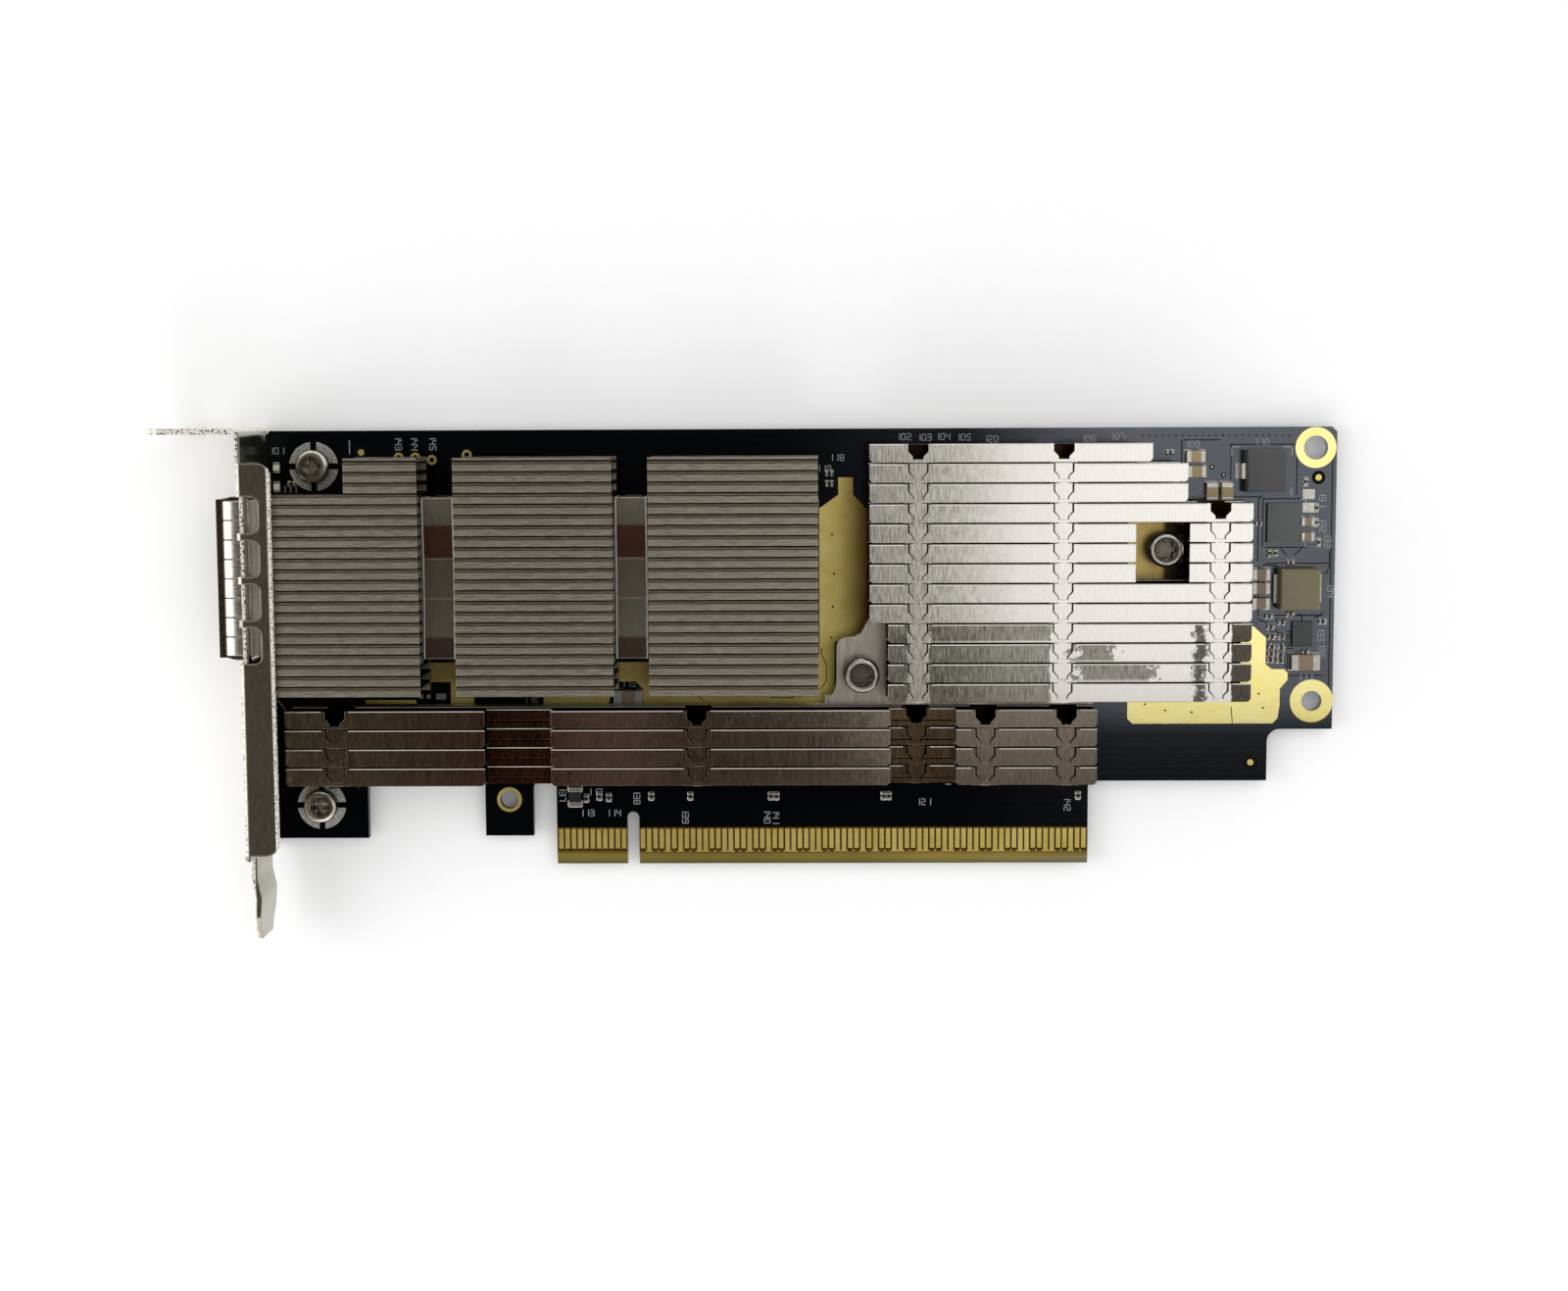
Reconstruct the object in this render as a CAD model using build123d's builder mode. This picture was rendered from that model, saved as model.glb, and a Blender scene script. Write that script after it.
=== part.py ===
"""Low-profile single-port network adapter card, as it lies on its back.

Frame: X runs along the card (bracket at minus X), Y from the seating edge of the
edge connector up to the card's long top edge, Z out of the component face.
The origin is the middle of the key notch, on the seating edge, on the component face.
"""
from build123d import *
from math import ceil
import os

os.makedirs("parts", exist_ok=True)

# Circuit board
board_height = 68.9
board_thickness = 1.57
key_to_left_edge = 57.15
cage_to_chip = 29.8
chip_to_right_edge = 51.0
left_edge = -key_to_left_edge
board_back = -board_thickness
lower_edge = 13.2
step_length = 10.2
step_height = 21.4
step_fillet = 2.0
corner_chamfer = 0.8
bracket_tab_length = 14.95
bracket_tab_bottom = 4.25
hook_left = -23.5
hook_width = 7.65
hook_bottom = 4.6
hook_hole_radius = 1.48
hook_hole_y = 10.4
hook_ring_radius = 1.98

# Edge connector
tongue_left = -12.15
tongue_right = 72.15
tongue_bevel = 1.2
bevel_depth = 0.4
key_width = 1.9
key_depth = 8.4
finger_pitch = 1.0
finger_width = 0.7
finger_top = 5.65
finger_bottom = 1.95
short_finger_bottom = 2.5
foot_flare_width = 1.3
foot_flare_height = 0.3
foot_flare_angle = 45
plating_dot = 0.14
fingers_before_key = 11
fingers_after_key = 71
key_to_finger = 1.5
pad_thickness = 0.05

# Holes through the board
end_hole_from_right = 3.3
top_hole_y = 65.65
top_hole_radius = 1.88
top_ring_radius = 3.18
low_hole_y = 25.85
low_hole_radius = 1.58
low_ring_radius = 3.39
bracket_hole_from_left = 7.55
upper_bracket_hole_y = 63.35
lower_bracket_hole_y = 9.6
bracket_hole_radius = 1.6
screw_ring_radius = 3.85
screw_ring_slot = 0.95

# Bracket
bracket_gap = 0.29
bracket_sheet = 0.86
bracket_width = 18.42
bracket_below_board = 3.0
bracket_length = 79.2
bracket_top_over_board = 0.5
bracket_bend = 1.3
lip_bend = 0.7
tab_reach = 13.3
tab_notch_radius = 2.2
tab_notch_from_sheet = 6.6
tab_notch_depth = 4.6
tail_width = 10.19
tail_top = 3.4
tail_jog = 0.6
tail_chamfer = 1.8
tail_tip = 1.5
tail_jog_start_share = 0.273
tail_jog_end_share = 0.5
lip_width = 5.25
lip_low_end = 4.2
lip_high_end = 64.2
lip_fillet = 2.0
vent_count = 4
vent_pitch = 6.6
vent_height = 5.5
vent_depth = 3.35
vent_fillet = 1.2
vent_below_lip = 2.4
ear_reach = 12.6
ear_width = 8.0
ear_fillet = 2.0
ear_thread_radius = 1.5
inner_face = left_edge - bracket_gap
outer_face = inner_face - bracket_sheet
bracket_low = -bracket_below_board
bracket_high = bracket_low + bracket_width
bracket_top = board_height + bracket_top_over_board
tail_end = bracket_top - bracket_length
tail_jog_top = tail_top - tail_jog_start_share * (tail_top - tail_end)
tail_jog_bottom = tail_top - tail_jog_end_share * (tail_top - tail_end)

# Port cage
port_y = 46.5
cage_width = 23.8
cage_top = 10.5
cage_foot = 0.2
cage_sheet = 0.35
cage_length = 92.15
nose_length = 4.15
cage_front = outer_face - nose_length
cage_back = cage_front + cage_length
chip_x = cage_back + cage_to_chip
right_edge = chip_x + chip_to_right_edge
cage_low_side = port_y - cage_width / 2
cage_high_side = port_y + cage_width / 2
window_length = 66.0
window_width = 15.0
window_from_front = 20.0
latch_hole_width = 2.6
latch_from_front = 8.2

# Spring fingers around the nose of the cage
collar_sheet = 0.2
collar_rim = 1.0
collar_gap = 0.05
collar_finger_bow = 0.45
collar_finger_gap = 0.25
collar_fingers_wide = 8
collar_fingers_high = 3
port_clearance = 0.15

# Host connector inside the cage
host_length = 22.0
host_height = 7.8
host_side_gap = 1.6
host_slot_height = 1.6
host_slot_wall = 0.8
host_slot_depth = 9.0
host_contact_pitch = 0.6
host_contact_width = 0.25
host_contact_height = 0.2
host_contact_count = 30

# Riding heatsink on the cage
saddle_plate = 0.8
saddle_wall = 0.5
saddle_gap = 0.1
saddle_flange_low = 4.2
saddle_flange = 0.5
pedestal_depth = 0.6
pedestal_clearance = 0.4
fin_top = 14.2
fin_sheet = 0.3
fin_pitch = 1.632
fin_gap = 0.14
fin_row_shift = 0.15
fin_rows_beside_cage = 3
fin_edge_lip = 0.55
block_front_left = left_edge + 4.15
block_front_length = 21.9
block_screw_notch = 10.8
block_middle_length = 24.0
saddle_back_margin = 0.2
bay_width = 5.45
block_front_right = block_front_left + block_front_length
block_front_screw_clear = block_front_left + block_screw_notch
block_middle_left = block_front_right + bay_width
block_middle_right = block_middle_left + block_middle_length
block_rear_left = block_middle_right + bay_width
block_rear_right = cage_back - saddle_back_margin
saddle_top = cage_top + saddle_plate
flange_top = saddle_flange_low + saddle_flange
saddle_width = cage_width + 2 * (saddle_gap + saddle_wall)
fin_rows_over_cage = ceil(saddle_width / fin_pitch)
over_cage_low = port_y - fin_row_shift - fin_rows_over_cage * fin_pitch / 2
over_cage_high = over_cage_low + fin_rows_over_cage * fin_pitch
fins_low = over_cage_low - fin_rows_beside_cage * fin_pitch
fins_high = over_cage_high + fin_rows_beside_cage * fin_pitch + fin_edge_lip

# Spring straps that press the riding heatsink down
strap_sheet = 0.3
strap_edge_break = 0.12
strap_side_gap = 0.25
strap_flat = 6.3
strap_rise = 0.9
strap_leg_low = 4.6
strap_latch_width = 2.6
strap_latch_height = 1.2
latch_tab_reach = 0.55
latch_tab_clearance = 0.3

# Controller chip and its heatsink
chip_y = 40.7
package_size = 26.0
package_height = 1.4
lid_size = 21.0
lid_height = 1.2
pad_height = 0.35
base_plate = 2.0
base_top_inset = 0.3
plate_in_window_inset = 0.4
window_undercut = 2.0
base_low = package_height + lid_height + pad_height
base_top = base_low + base_plate
stack_top_edge = chip_y + 26.1
stack_row_pitch = 3.03
stack_rows = 13
stack_left = chip_x - 22.2
stack_left_low_rows = stack_left + 2.75
stack_low_rows = 4
stack_right = chip_x + 35.5
stack_right_first_row = stack_right - 15.2
stack_right_next_rows = stack_right - 9.85
stack_top = 14.2
stack_sheet = 0.4
stack_gap = 0.22
stack_corner = 0.7
screw_window_left = chip_x + 17.9
screw_window_right = screw_window_left + 8.1
screw_window_first_row = 4
screw_window_rows = 3
interlock_width = 3.1
interlock_neck = 1.6
interlock_wide_share = 0.42
interlock_foot = 0.35
hook_drop = 0.25
hook_share = 0.86
stack_interlocks = (stack_left + 7.3, chip_x + 7.0, stack_right - 4.9)
last_interlock_first_row = 3
stack_bottom_edge = stack_top_edge - stack_rows * stack_row_pitch

# Lower fin strip along the edge connector
strip_top_edge = 26.1
strip_row_pitch = 2.97
strip_rows = 4
strip_left = left_edge + 4.45
strip_right = tongue_right + 0.05
strip_top = 11.0
strip_recess = 2.4
strip_recess_spans = ((-21.9, -11.7), (40.4, 50.6))
strip_interlocks = (-45.0, 10.8, 55.1, 67.5)
strip_low_interlocks = stack_interlocks[:1]
recess_slit = 0.2
recess_slit_share = 0.68
recess_slit_end = 0.3
strip_foot_tab_left = strip_left + 5.5
strip_foot_tab_width = 4.5
strip_foot_tab_reach = 1.1
strip_bottom_edge = strip_top_edge - strip_rows * strip_row_pitch

# Heat pipe in the base plate
pipe_width = 6.0
pipe_thickness = 1.5
pipe_clearance = 0.06
pipe_bend = 9.0
pipe_turn_from_chip = 12.5

# Ear of the base plate, as steps from the middle of its screw
ear_outline = ((1.07, 8.4), (0.34, 7.08), (-0.15, 6.16), (-1.11, 5.63), (-2.63, 5.48),
               (-3.55, 5.1), (-3.95, 4.18), (-3.95, -1.85), (-4.4, -3.1), (-5.28, -4.05),
               (-5.28, -6.0))

# Spring screws of the controller heatsink
spring_screw_offset = (23.25, 9.6)
spring_screw_places = (
    (chip_x - spring_screw_offset[0], chip_y - spring_screw_offset[1]),
    (chip_x + spring_screw_offset[0], chip_y + spring_screw_offset[1]),
)
spring_screw_head_radius = 2.7
spring_screw_head_height = 2.1
spring_screw_shank = 1.4
spring_screw_hole = 1.75
spring_height = 2.3
spring_wire = 0.45
spring_turns = 3
spring_radius = 2.15
lobe_radius = 0.42
lobe_circle = 1.15
recess_depth = 1.3
dish_radius = 2.0
dish_depth = 0.35
head_rim_fillet = 0.5
standoff_radius = 2.6
standoff_hole = 1.45
standoff_shank = 2.1
standoff_clearance = 0.05

# Bracket screws
pan_head_radius = 2.62
pan_head_height = 1.9
pan_head_crown = 0.7
pan_shank_radius = 1.42
cross_length = 3.0
cross_width = 0.75
cross_depth = 1.1
screw_end_above_bracket_edge = 0.15

# Surface-mount parts
end_cap_share = 0.24

# Text-free gold plating on the component face
plane_left = -32.2
plane_top = 56.3


def chip_bodies(places, length, width, turned=False, face=0.0):
    """Footprints of chip bodies: each place is a centre, the length runs along X or Y."""
    middle = length * (1 - 2 * end_cap_share)
    with BuildSketch(Plane.XY.offset(face)) as bodies:
        with Locations(*places):
            Rectangle(*((width, middle) if turned else (middle, width)))
    return bodies.sketch


def chip_caps(places, length, width, turned=False, face=0.0):
    """Footprints of the metal end caps, one at each end of every chip body."""
    cap = length * end_cap_share
    along = (length - cap) / 2
    shift_x, shift_y = (0, along) if turned else (along, 0)
    ends = [(x + sign * shift_x, y + sign * shift_y) for x, y in places for sign in (-1, 1)]
    with BuildSketch(Plane.XY.offset(face)) as caps:
        with Locations(*ends):
            Rectangle(*((width, cap) if turned else (cap, width)))
    return caps.sketch


def round_spots(places, radius, face=0.0):
    """Round outlines of one radius, one at each place."""
    with BuildSketch(Plane.XY.offset(face)) as spots:
        with Locations(*places):
            Circle(radius)
    return spots.sketch


def ring(place, outer, inner):
    """A flat ring on the component face."""
    with BuildSketch() as flat_ring:
        with Locations(place):
            Circle(outer)
            Circle(inner, mode=Mode.SUBTRACT)
    return flat_ring.sketch


# Where the holes stand
end_hole_x = right_edge - end_hole_from_right
bracket_hole_x = left_edge + bracket_hole_from_left
hook_hole_x = hook_left + hook_width / 2
hook_right = hook_left + hook_width
end_holes = ((end_hole_x, top_hole_y), (end_hole_x, low_hole_y))
bracket_holes = ((bracket_hole_x, upper_bracket_hole_y), (bracket_hole_x, lower_bracket_hole_y))

# Circuit board: one sheet of laminate with its edge-connector tongue
with BuildPart() as circuit_board:
    with BuildSketch():
        with BuildLine():
            Polyline(
                (left_edge, bracket_tab_bottom),
                (left_edge + bracket_tab_length, bracket_tab_bottom),
                (left_edge + bracket_tab_length, lower_edge),
                (hook_left, lower_edge),
                (hook_left, hook_bottom),
                (hook_right, hook_bottom),
                (hook_right, lower_edge),
                (tongue_left, lower_edge),
                (tongue_left, 0),
                (tongue_right, 0),
                (tongue_right, lower_edge),
                (right_edge - step_length, lower_edge),
                (right_edge - step_length, step_height),
                (right_edge, step_height),
                (right_edge, board_height),
                (left_edge, board_height),
                close=True,
            )
        make_face()
    extrude(amount=-board_thickness)
    upright = circuit_board.edges().filter_by(Axis.Z)
    inner_corner = upright.sort_by_distance((right_edge - step_length, step_height, 0))[:1]
    fillet(inner_corner, step_fillet)
    hook_corner = (
        circuit_board.edges().filter_by(Axis.Z).sort_by_distance((hook_right, lower_edge, 0))[:1]
    )
    fillet(hook_corner, step_fillet / 2)
    outer_corners = (
        circuit_board.edges().filter_by(Axis.Z).group_by(Axis.Y)[-1]
    )
    chamfer(outer_corners, corner_chamfer)
    tongue_rims = circuit_board.edges().filter_by(Axis.X).group_by(Axis.Y)[0]
    chamfer(tongue_rims, length=bevel_depth, length2=tongue_bevel,
            reference=circuit_board.faces().filter_by(Axis.Y).group_by(Axis.Y)[0][0])
    with BuildSketch():
        with Locations((0, (key_depth - key_width / 2) / 2)):
            Rectangle(key_width, key_depth - key_width / 2)
        with Locations((0, key_depth - key_width / 2)):
            Circle(key_width / 2)
    extrude(amount=-board_thickness, mode=Mode.SUBTRACT)
    for places, radius in (
        ([(end_hole_x, top_hole_y)], top_hole_radius),
        ([(end_hole_x, low_hole_y)], low_hole_radius),
        ([(hook_hole_x, hook_hole_y)], hook_hole_radius),
        (bracket_holes, bracket_hole_radius),
        (spring_screw_places, standoff_shank + standoff_clearance),
    ):
        extrude(round_spots(places, radius), amount=-board_thickness, mode=Mode.SUBTRACT)
circuit_board.part.label = "circuit_board"
export_step(circuit_board.part, "parts/circuit_board.step")

# Edge contacts: plain ones for signals, longer ones with a flared foot for the ground
contact_x = [-key_to_finger - (fingers_before_key - 1 - i) * finger_pitch
             for i in range(fingers_before_key)]
contact_x += [key_to_finger + i * finger_pitch for i in range(fingers_after_key)]
ground_front = (13, 16, 18, 21, 22, 25, 26, 29, 32, 35, 36, 39, 40, 43, 44, 47, 49, 52, 53, 56, 57,
                60, 61, 64, 65, 68, 69, 72, 73, 76, 77, 80)
ground_back = (12, 15, 18, 20, 23, 24, 27, 28, 31, 34, 37, 38, 41, 42, 45, 46, 49, 51, 54, 55, 58,
               59, 62, 63, 66, 67, 70, 71, 74, 75, 78, 79, 82)


def contact_bars(grounds, face):
    """Footprints of all contacts of one face, the ground ones longer and flared at the foot."""
    ground_x = [contact_x[number - 1] for number in grounds]
    signal_x = [x for x in contact_x if x not in ground_x]
    with BuildSketch(Plane.XY.offset(face)) as bars:
        with Locations(*[(x, (finger_top + short_finger_bottom) / 2) for x in signal_x]):
            Rectangle(finger_width, finger_top - short_finger_bottom)
        with Locations(*[(x, (finger_top + finger_bottom) / 2) for x in ground_x]):
            Rectangle(finger_width, finger_top - finger_bottom)
        with Locations(*[(x, finger_bottom + foot_flare_height / 2) for x in ground_x]):
            Trapezoid(foot_flare_width, foot_flare_height, foot_flare_angle)
        dots = [(x + finger_pitch / 2, finger_bottom + plating_dot)
                for x in signal_x if x > 0 and x + finger_pitch in signal_x]
        with Locations(*dots):
            Circle(plating_dot)
    return bars.sketch


with BuildPart() as front_fingers:
    extrude(contact_bars(ground_front, 0), amount=pad_thickness)
front_fingers.part.label = "front_fingers"
export_step(front_fingers.part, "parts/front_fingers.step")

with BuildPart() as back_fingers:
    extrude(contact_bars(ground_back, board_back), amount=-pad_thickness)
back_fingers.part.label = "back_fingers"
export_step(back_fingers.part, "parts/back_fingers.step")

# Gold plating that shows beside and between the heatsinks
cap_bay_left = -2.9
cap_bay_right = 2.0
cap_bay_top = 29.25
cap_bay_corner = 1.4
plane_low = 25.1
plane_shelf = 32.35
plane_shelf_inset = 1.0
plane_foot = 24.8
neck_left = cage_back + 3.0
neck_right = neck_left + 2.3
neck_top = 61.3
shoulder = 58.6
plane_right = stack_left - 0.1
plane_right_low = 35.5
ear_gap_x = stack_left - 5.2

with BuildPart() as cage_ground_plane:
    with BuildSketch():
        with BuildLine():
            Polyline(
                (plane_left, plane_shelf),
                (block_rear_right - plane_shelf_inset, plane_shelf),
                (block_rear_right - plane_shelf_inset, plane_top),
                (block_rear_right, plane_top),
                (neck_left, shoulder),
                (neck_left, neck_top),
                (neck_right, neck_top),
                (neck_right, shoulder),
                (plane_right, plane_top),
                (plane_right, plane_right_low + 2.2),
                (plane_right - 2.2, plane_right_low),
                (ear_gap_x, plane_right_low),
                (ear_gap_x, plane_low + 1.4),
                (ear_gap_x - 1.8, plane_low),
                (cap_bay_right, plane_low),
                (cap_bay_right, cap_bay_top - cap_bay_corner),
                (cap_bay_right - cap_bay_corner, cap_bay_top),
                (cap_bay_left, cap_bay_top),
                (cap_bay_left - 1.0, plane_foot),
                (-14.0, plane_foot),
                (-14.0, 28.6),
                (-25.0, 28.6),
                (-25.0, plane_low),
                (-28.7, plane_low),
                (-28.7, cap_bay_top),
                (plane_left, cap_bay_top),
                close=True,
            )
        make_face()
        with Locations((-38.25, 23.6)):
            Rectangle(8.1, 5.6)
    extrude(amount=pad_thickness)
cage_ground_plane.part.label = "cage_ground_plane"
export_step(cage_ground_plane.part, "parts/cage_ground_plane.step")

with BuildPart() as corner_ground_plane:
    with BuildSketch():
        with BuildLine():
            Polyline(
                (right_edge - 32.25, 27.0),
                (right_edge - 32.25, 23.1),
                (right_edge - 31.4, 22.3),
                (right_edge - 9.4, 22.3),
                (right_edge - 8.6, 23.1),
                (right_edge - 8.3, 25.1),
                (right_edge - 8.3, 27.8),
                (right_edge - 7.1, 29.2),
                (right_edge - 7.1, 30.3),
                (right_edge - 7.7, 30.9),
                (right_edge - 9.6, 30.9),
                (right_edge - 10.6, 31.7),
                (right_edge - 10.6, 35.9),
                (right_edge - 12.6, 37.7),
                (right_edge - 18.0, 37.7),
                (right_edge - 18.0, 27.0),
                close=True,
            )
        make_face()
    extrude(amount=pad_thickness)
corner_ground_plane.part.label = "corner_ground_plane"
export_step(corner_ground_plane.part, "parts/corner_ground_plane.step")


# Plated rings around the holes, and round test points
with BuildPart() as end_hole_rings:
    extrude(ring((end_hole_x, top_hole_y), top_ring_radius, top_hole_radius), amount=pad_thickness)
    extrude(ring((end_hole_x, low_hole_y), low_ring_radius, low_hole_radius), amount=pad_thickness)
end_hole_rings.part.label = "end_hole_rings"
export_step(end_hole_rings.part, "parts/end_hole_rings.step")

with BuildPart() as hook_hole_ring:
    extrude(ring((hook_hole_x, hook_hole_y), hook_ring_radius, hook_hole_radius), amount=pad_thickness)
hook_hole_ring.part.label = "hook_hole_ring"
export_step(hook_hole_ring.part, "parts/hook_hole_ring.step")

with BuildPart() as screw_rings:
    for hole in bracket_holes:
        extrude(ring(hole, screw_ring_radius, bracket_hole_radius), amount=pad_thickness)
        with BuildSketch():
            with Locations(hole):
                Rectangle(2 * screw_ring_radius, screw_ring_slot)
                Rectangle(screw_ring_slot, 2 * screw_ring_radius)
        extrude(amount=pad_thickness, mode=Mode.SUBTRACT)
screw_rings.part.label = "screw_rings"
export_step(screw_rings.part, "parts/screw_rings.step")

test_ring_radius = 0.76
test_ring_hole = 0.39
fiducial_radius = 0.5
test_rings_y = 64.7
test_ring_places = ((-36.2, test_rings_y), (-33.6, test_rings_y), (-31.0, 64.3), (-25.5, 65.1))
fiducials = ((right_edge - 2.8, 61.0), (right_edge - 12.75, 16.1), (left_edge + 15.05, 65.5))

with BuildPart() as test_points:
    for place in test_ring_places:
        extrude(ring(place, test_ring_radius, test_ring_hole), amount=pad_thickness)
    extrude(round_spots(fiducials, fiducial_radius), amount=pad_thickness)
test_points.part.label = "test_points"
export_step(test_points.part, "parts/test_points.step")

# Bracket: one folded steel sheet with a screw tab, a vented lip, two ears and a tail
vents_middle = port_y
port_low = cage_foot - collar_sheet - collar_finger_bow - port_clearance
port_high = cage_top + collar_sheet + collar_finger_bow + port_clearance
port_half_width = cage_width / 2 + collar_sheet + collar_finger_bow + port_clearance

with BuildPart() as bracket:
    # main sheet and screw tab as one bent strip, seen along Z
    with BuildSketch(Plane.XY.offset(bracket_low)):
        with BuildLine():
            bend_path = FilletPolyline(
                (outer_face - tab_reach, bracket_top),
                (inner_face, bracket_top),
                (inner_face, tail_top),
                radius=bracket_bend,
            )
            offset(bend_path, amount=bracket_sheet, side=Side.RIGHT)
        make_face()
    extrude(amount=bracket_width)
    # lip along the component side
    with BuildSketch(Plane.XY.offset(bracket_high - bracket_sheet)):
        with Locations((outer_face + lip_width / 2, (lip_low_end + lip_high_end) / 2)):
            Rectangle(lip_width, lip_high_end - lip_low_end)
    extrude(amount=bracket_sheet)
    lip_corners = (
        bracket.edges().filter_by(Axis.Z).group_by(Axis.X)[-1]
    )
    fillet(lip_corners, lip_fillet)
    # rounded fold at the sheet, and the rounded free edge of the lip
    lip_edge = outer_face + lip_width
    with BuildSketch(Plane.XZ.offset(-lip_high_end)):
        for rim_x, inward in ((outer_face, 1), (lip_edge, -1)):
            with Locations((rim_x + inward * lip_bend / 2, bracket_high - lip_bend / 2)):
                Rectangle(lip_bend, lip_bend)
        for rim_x, inward in ((outer_face, 1), (lip_edge, -1)):
            with Locations((rim_x + inward * lip_bend, bracket_high - lip_bend)):
                Circle(lip_bend, mode=Mode.SUBTRACT)
    extrude(amount=lip_high_end - lip_low_end, mode=Mode.SUBTRACT)
    # ears under the board for the two bracket screws
    for hole_x, hole_y in bracket_holes:
        with BuildSketch(Plane.XY.offset(board_back)):
            with Locations((outer_face + ear_reach / 2, hole_y)):
                Rectangle(ear_reach, ear_width)
        extrude(amount=-bracket_sheet)
        ear_ends = (
            bracket.edges().filter_by(Axis.Z)
            .filter_by(lambda edge: abs(edge.center().X - (outer_face + ear_reach)) < bracket_sheet)
            .filter_by(lambda edge: abs(edge.center().Y - hole_y) < ear_width)
        )
        fillet(ear_ends, ear_fillet)
        with BuildSketch(Plane.XY.offset(board_back)):
            with Locations((hole_x, hole_y)):
                Circle(ear_thread_radius)
        extrude(amount=-bracket_sheet, mode=Mode.SUBTRACT)
    # tail that goes down into the chassis slot, with its jog
    with BuildSketch(Plane.XY.offset(bracket_low + (bracket_width - tail_width) / 2)):
        with BuildLine():
            tail_path = Polyline(
                (outer_face, tail_top),
                (outer_face, tail_jog_top),
                (outer_face + tail_jog, tail_jog_bottom),
                (outer_face + tail_jog / 3, tail_end + tail_tip),
                (outer_face + tail_jog / 3, tail_end),
            )
            offset(tail_path, amount=bracket_sheet, side=Side.LEFT)
        make_face()
    extrude(amount=tail_width)
    with BuildSketch(Plane.YZ.offset(outer_face)):
        for side_z, inward in (
            (bracket_low + (bracket_width - tail_width) / 2, 1),
            (bracket_high - (bracket_width - tail_width) / 2, -1),
        ):
            with BuildLine():
                Polyline(
                    (tail_end, side_z),
                    (tail_end + 2 * tail_chamfer, side_z),
                    (tail_end, side_z + inward * tail_chamfer),
                    close=True,
                )
            make_face()
    extrude(amount=2 * bracket_sheet, mode=Mode.SUBTRACT)
    # port opening and vents
    with BuildSketch(Plane.YZ.offset(outer_face)):
        with Locations((port_y, (port_low + port_high) / 2)):
            RectangleRounded(2 * port_half_width, port_high - port_low, 0.6)
    extrude(amount=bracket_sheet, mode=Mode.SUBTRACT)
    vent_places = [
        (outer_face + vent_depth / 2, vents_middle + (i - (vent_count - 1) / 2) * vent_pitch)
        for i in range(vent_count)
    ]
    with BuildSketch(Plane.XY.offset(bracket_high)):
        for vent_x, vent_y in vent_places:
            with Locations((vent_x, vent_y)):
                RectangleRounded(vent_depth, vent_height, vent_fillet)
            with Locations((vent_x - vent_depth / 4, vent_y)):
                Rectangle(vent_depth / 2, vent_height)
    extrude(amount=-vent_below_lip, mode=Mode.SUBTRACT)
    # screw notch in the tab
    with BuildSketch(Plane.XZ.offset(-bracket_top)):
        notch_x = outer_face - tab_notch_from_sheet
        with Locations((notch_x, bracket_low + tab_notch_depth - tab_notch_radius)):
            Circle(tab_notch_radius)
        with Locations((notch_x, bracket_low + (tab_notch_depth - tab_notch_radius) / 2)):
            Rectangle(2 * tab_notch_radius, tab_notch_depth - tab_notch_radius)
    extrude(amount=bracket_sheet, mode=Mode.SUBTRACT)
    tab_corners = bracket.edges().filter_by(Axis.Y).group_by(Axis.X)[0]
    fillet(tab_corners, lip_fillet)
bracket.part.label = "bracket"
export_step(bracket.part, "parts/bracket.step")

# Port cage: folded shell, open at the nose, with a window for the riding heatsink
window_start = cage_front + window_from_front
inner_top = cage_top - cage_sheet
inner_foot = cage_foot + cage_sheet
inner_half = cage_width / 2 - cage_sheet
strap_bays = ((block_front_right, block_middle_left), (block_middle_right, block_rear_left))
latch_z = strap_leg_low + 1.6

with BuildPart() as cage:
    with BuildSketch(Plane.YZ.offset(cage_front)):
        with Locations((port_y, (cage_foot + cage_top) / 2)):
            Rectangle(cage_width, cage_top - cage_foot)
            Rectangle(2 * inner_half, inner_top - inner_foot, mode=Mode.SUBTRACT)
    extrude(amount=cage_length)
    with BuildSketch(Plane.YZ.offset(cage_back - cage_sheet)):
        with Locations((port_y, (cage_foot + cage_top) / 2)):
            Rectangle(cage_width, cage_top - cage_foot)
    extrude(amount=cage_sheet)
    with BuildSketch(Plane.XY.offset(inner_top)):
        with Locations((window_start + window_length / 2, port_y)):
            Rectangle(window_length, window_width)
    extrude(amount=cage_sheet, mode=Mode.SUBTRACT)
    # slots through which the module latches, one in each side wall
    with BuildSketch(Plane.XZ.offset(-cage_high_side)):
        with Locations((cage_front + latch_from_front, (cage_foot + cage_top) / 2)):
            Rectangle(latch_hole_width, latch_hole_width)
    extrude(amount=cage_width, mode=Mode.SUBTRACT)
    # small hooks that hold the legs of the straps
    for bay_left, bay_right in strap_bays:
        bay_middle = (bay_left + bay_right) / 2
        for side, out in ((cage_low_side, -1), (cage_high_side, 1)):
            with BuildSketch(Plane.XZ.offset(-side)):
                with Locations((bay_middle, latch_z)):
                    Rectangle(strap_latch_width - 2 * latch_tab_clearance,
                              strap_latch_height - latch_tab_clearance)
            extrude(amount=-out * latch_tab_reach)
cage.part.label = "cage"
export_step(cage.part, "parts/cage.step")

# Press-fit feet of the cage that stand on the board
foot_size = 0.9
foot_rows = 9
foot_pitch = (cage_back - left_edge - 6.0) / (foot_rows - 1)

with BuildPart() as cage_feet:
    with BuildSketch(Plane.XY.offset(pad_thickness)):
        for row in range(foot_rows):
            for side in (cage_low_side + foot_size / 2, cage_high_side - foot_size / 2):
                with Locations((left_edge + 3.0 + row * foot_pitch, side)):
                    Rectangle(foot_size, foot_size)
    extrude(amount=cage_foot - pad_thickness)
cage_feet.part.label = "cage_feet"
export_step(cage_feet.part, "parts/cage_feet.step")

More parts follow.
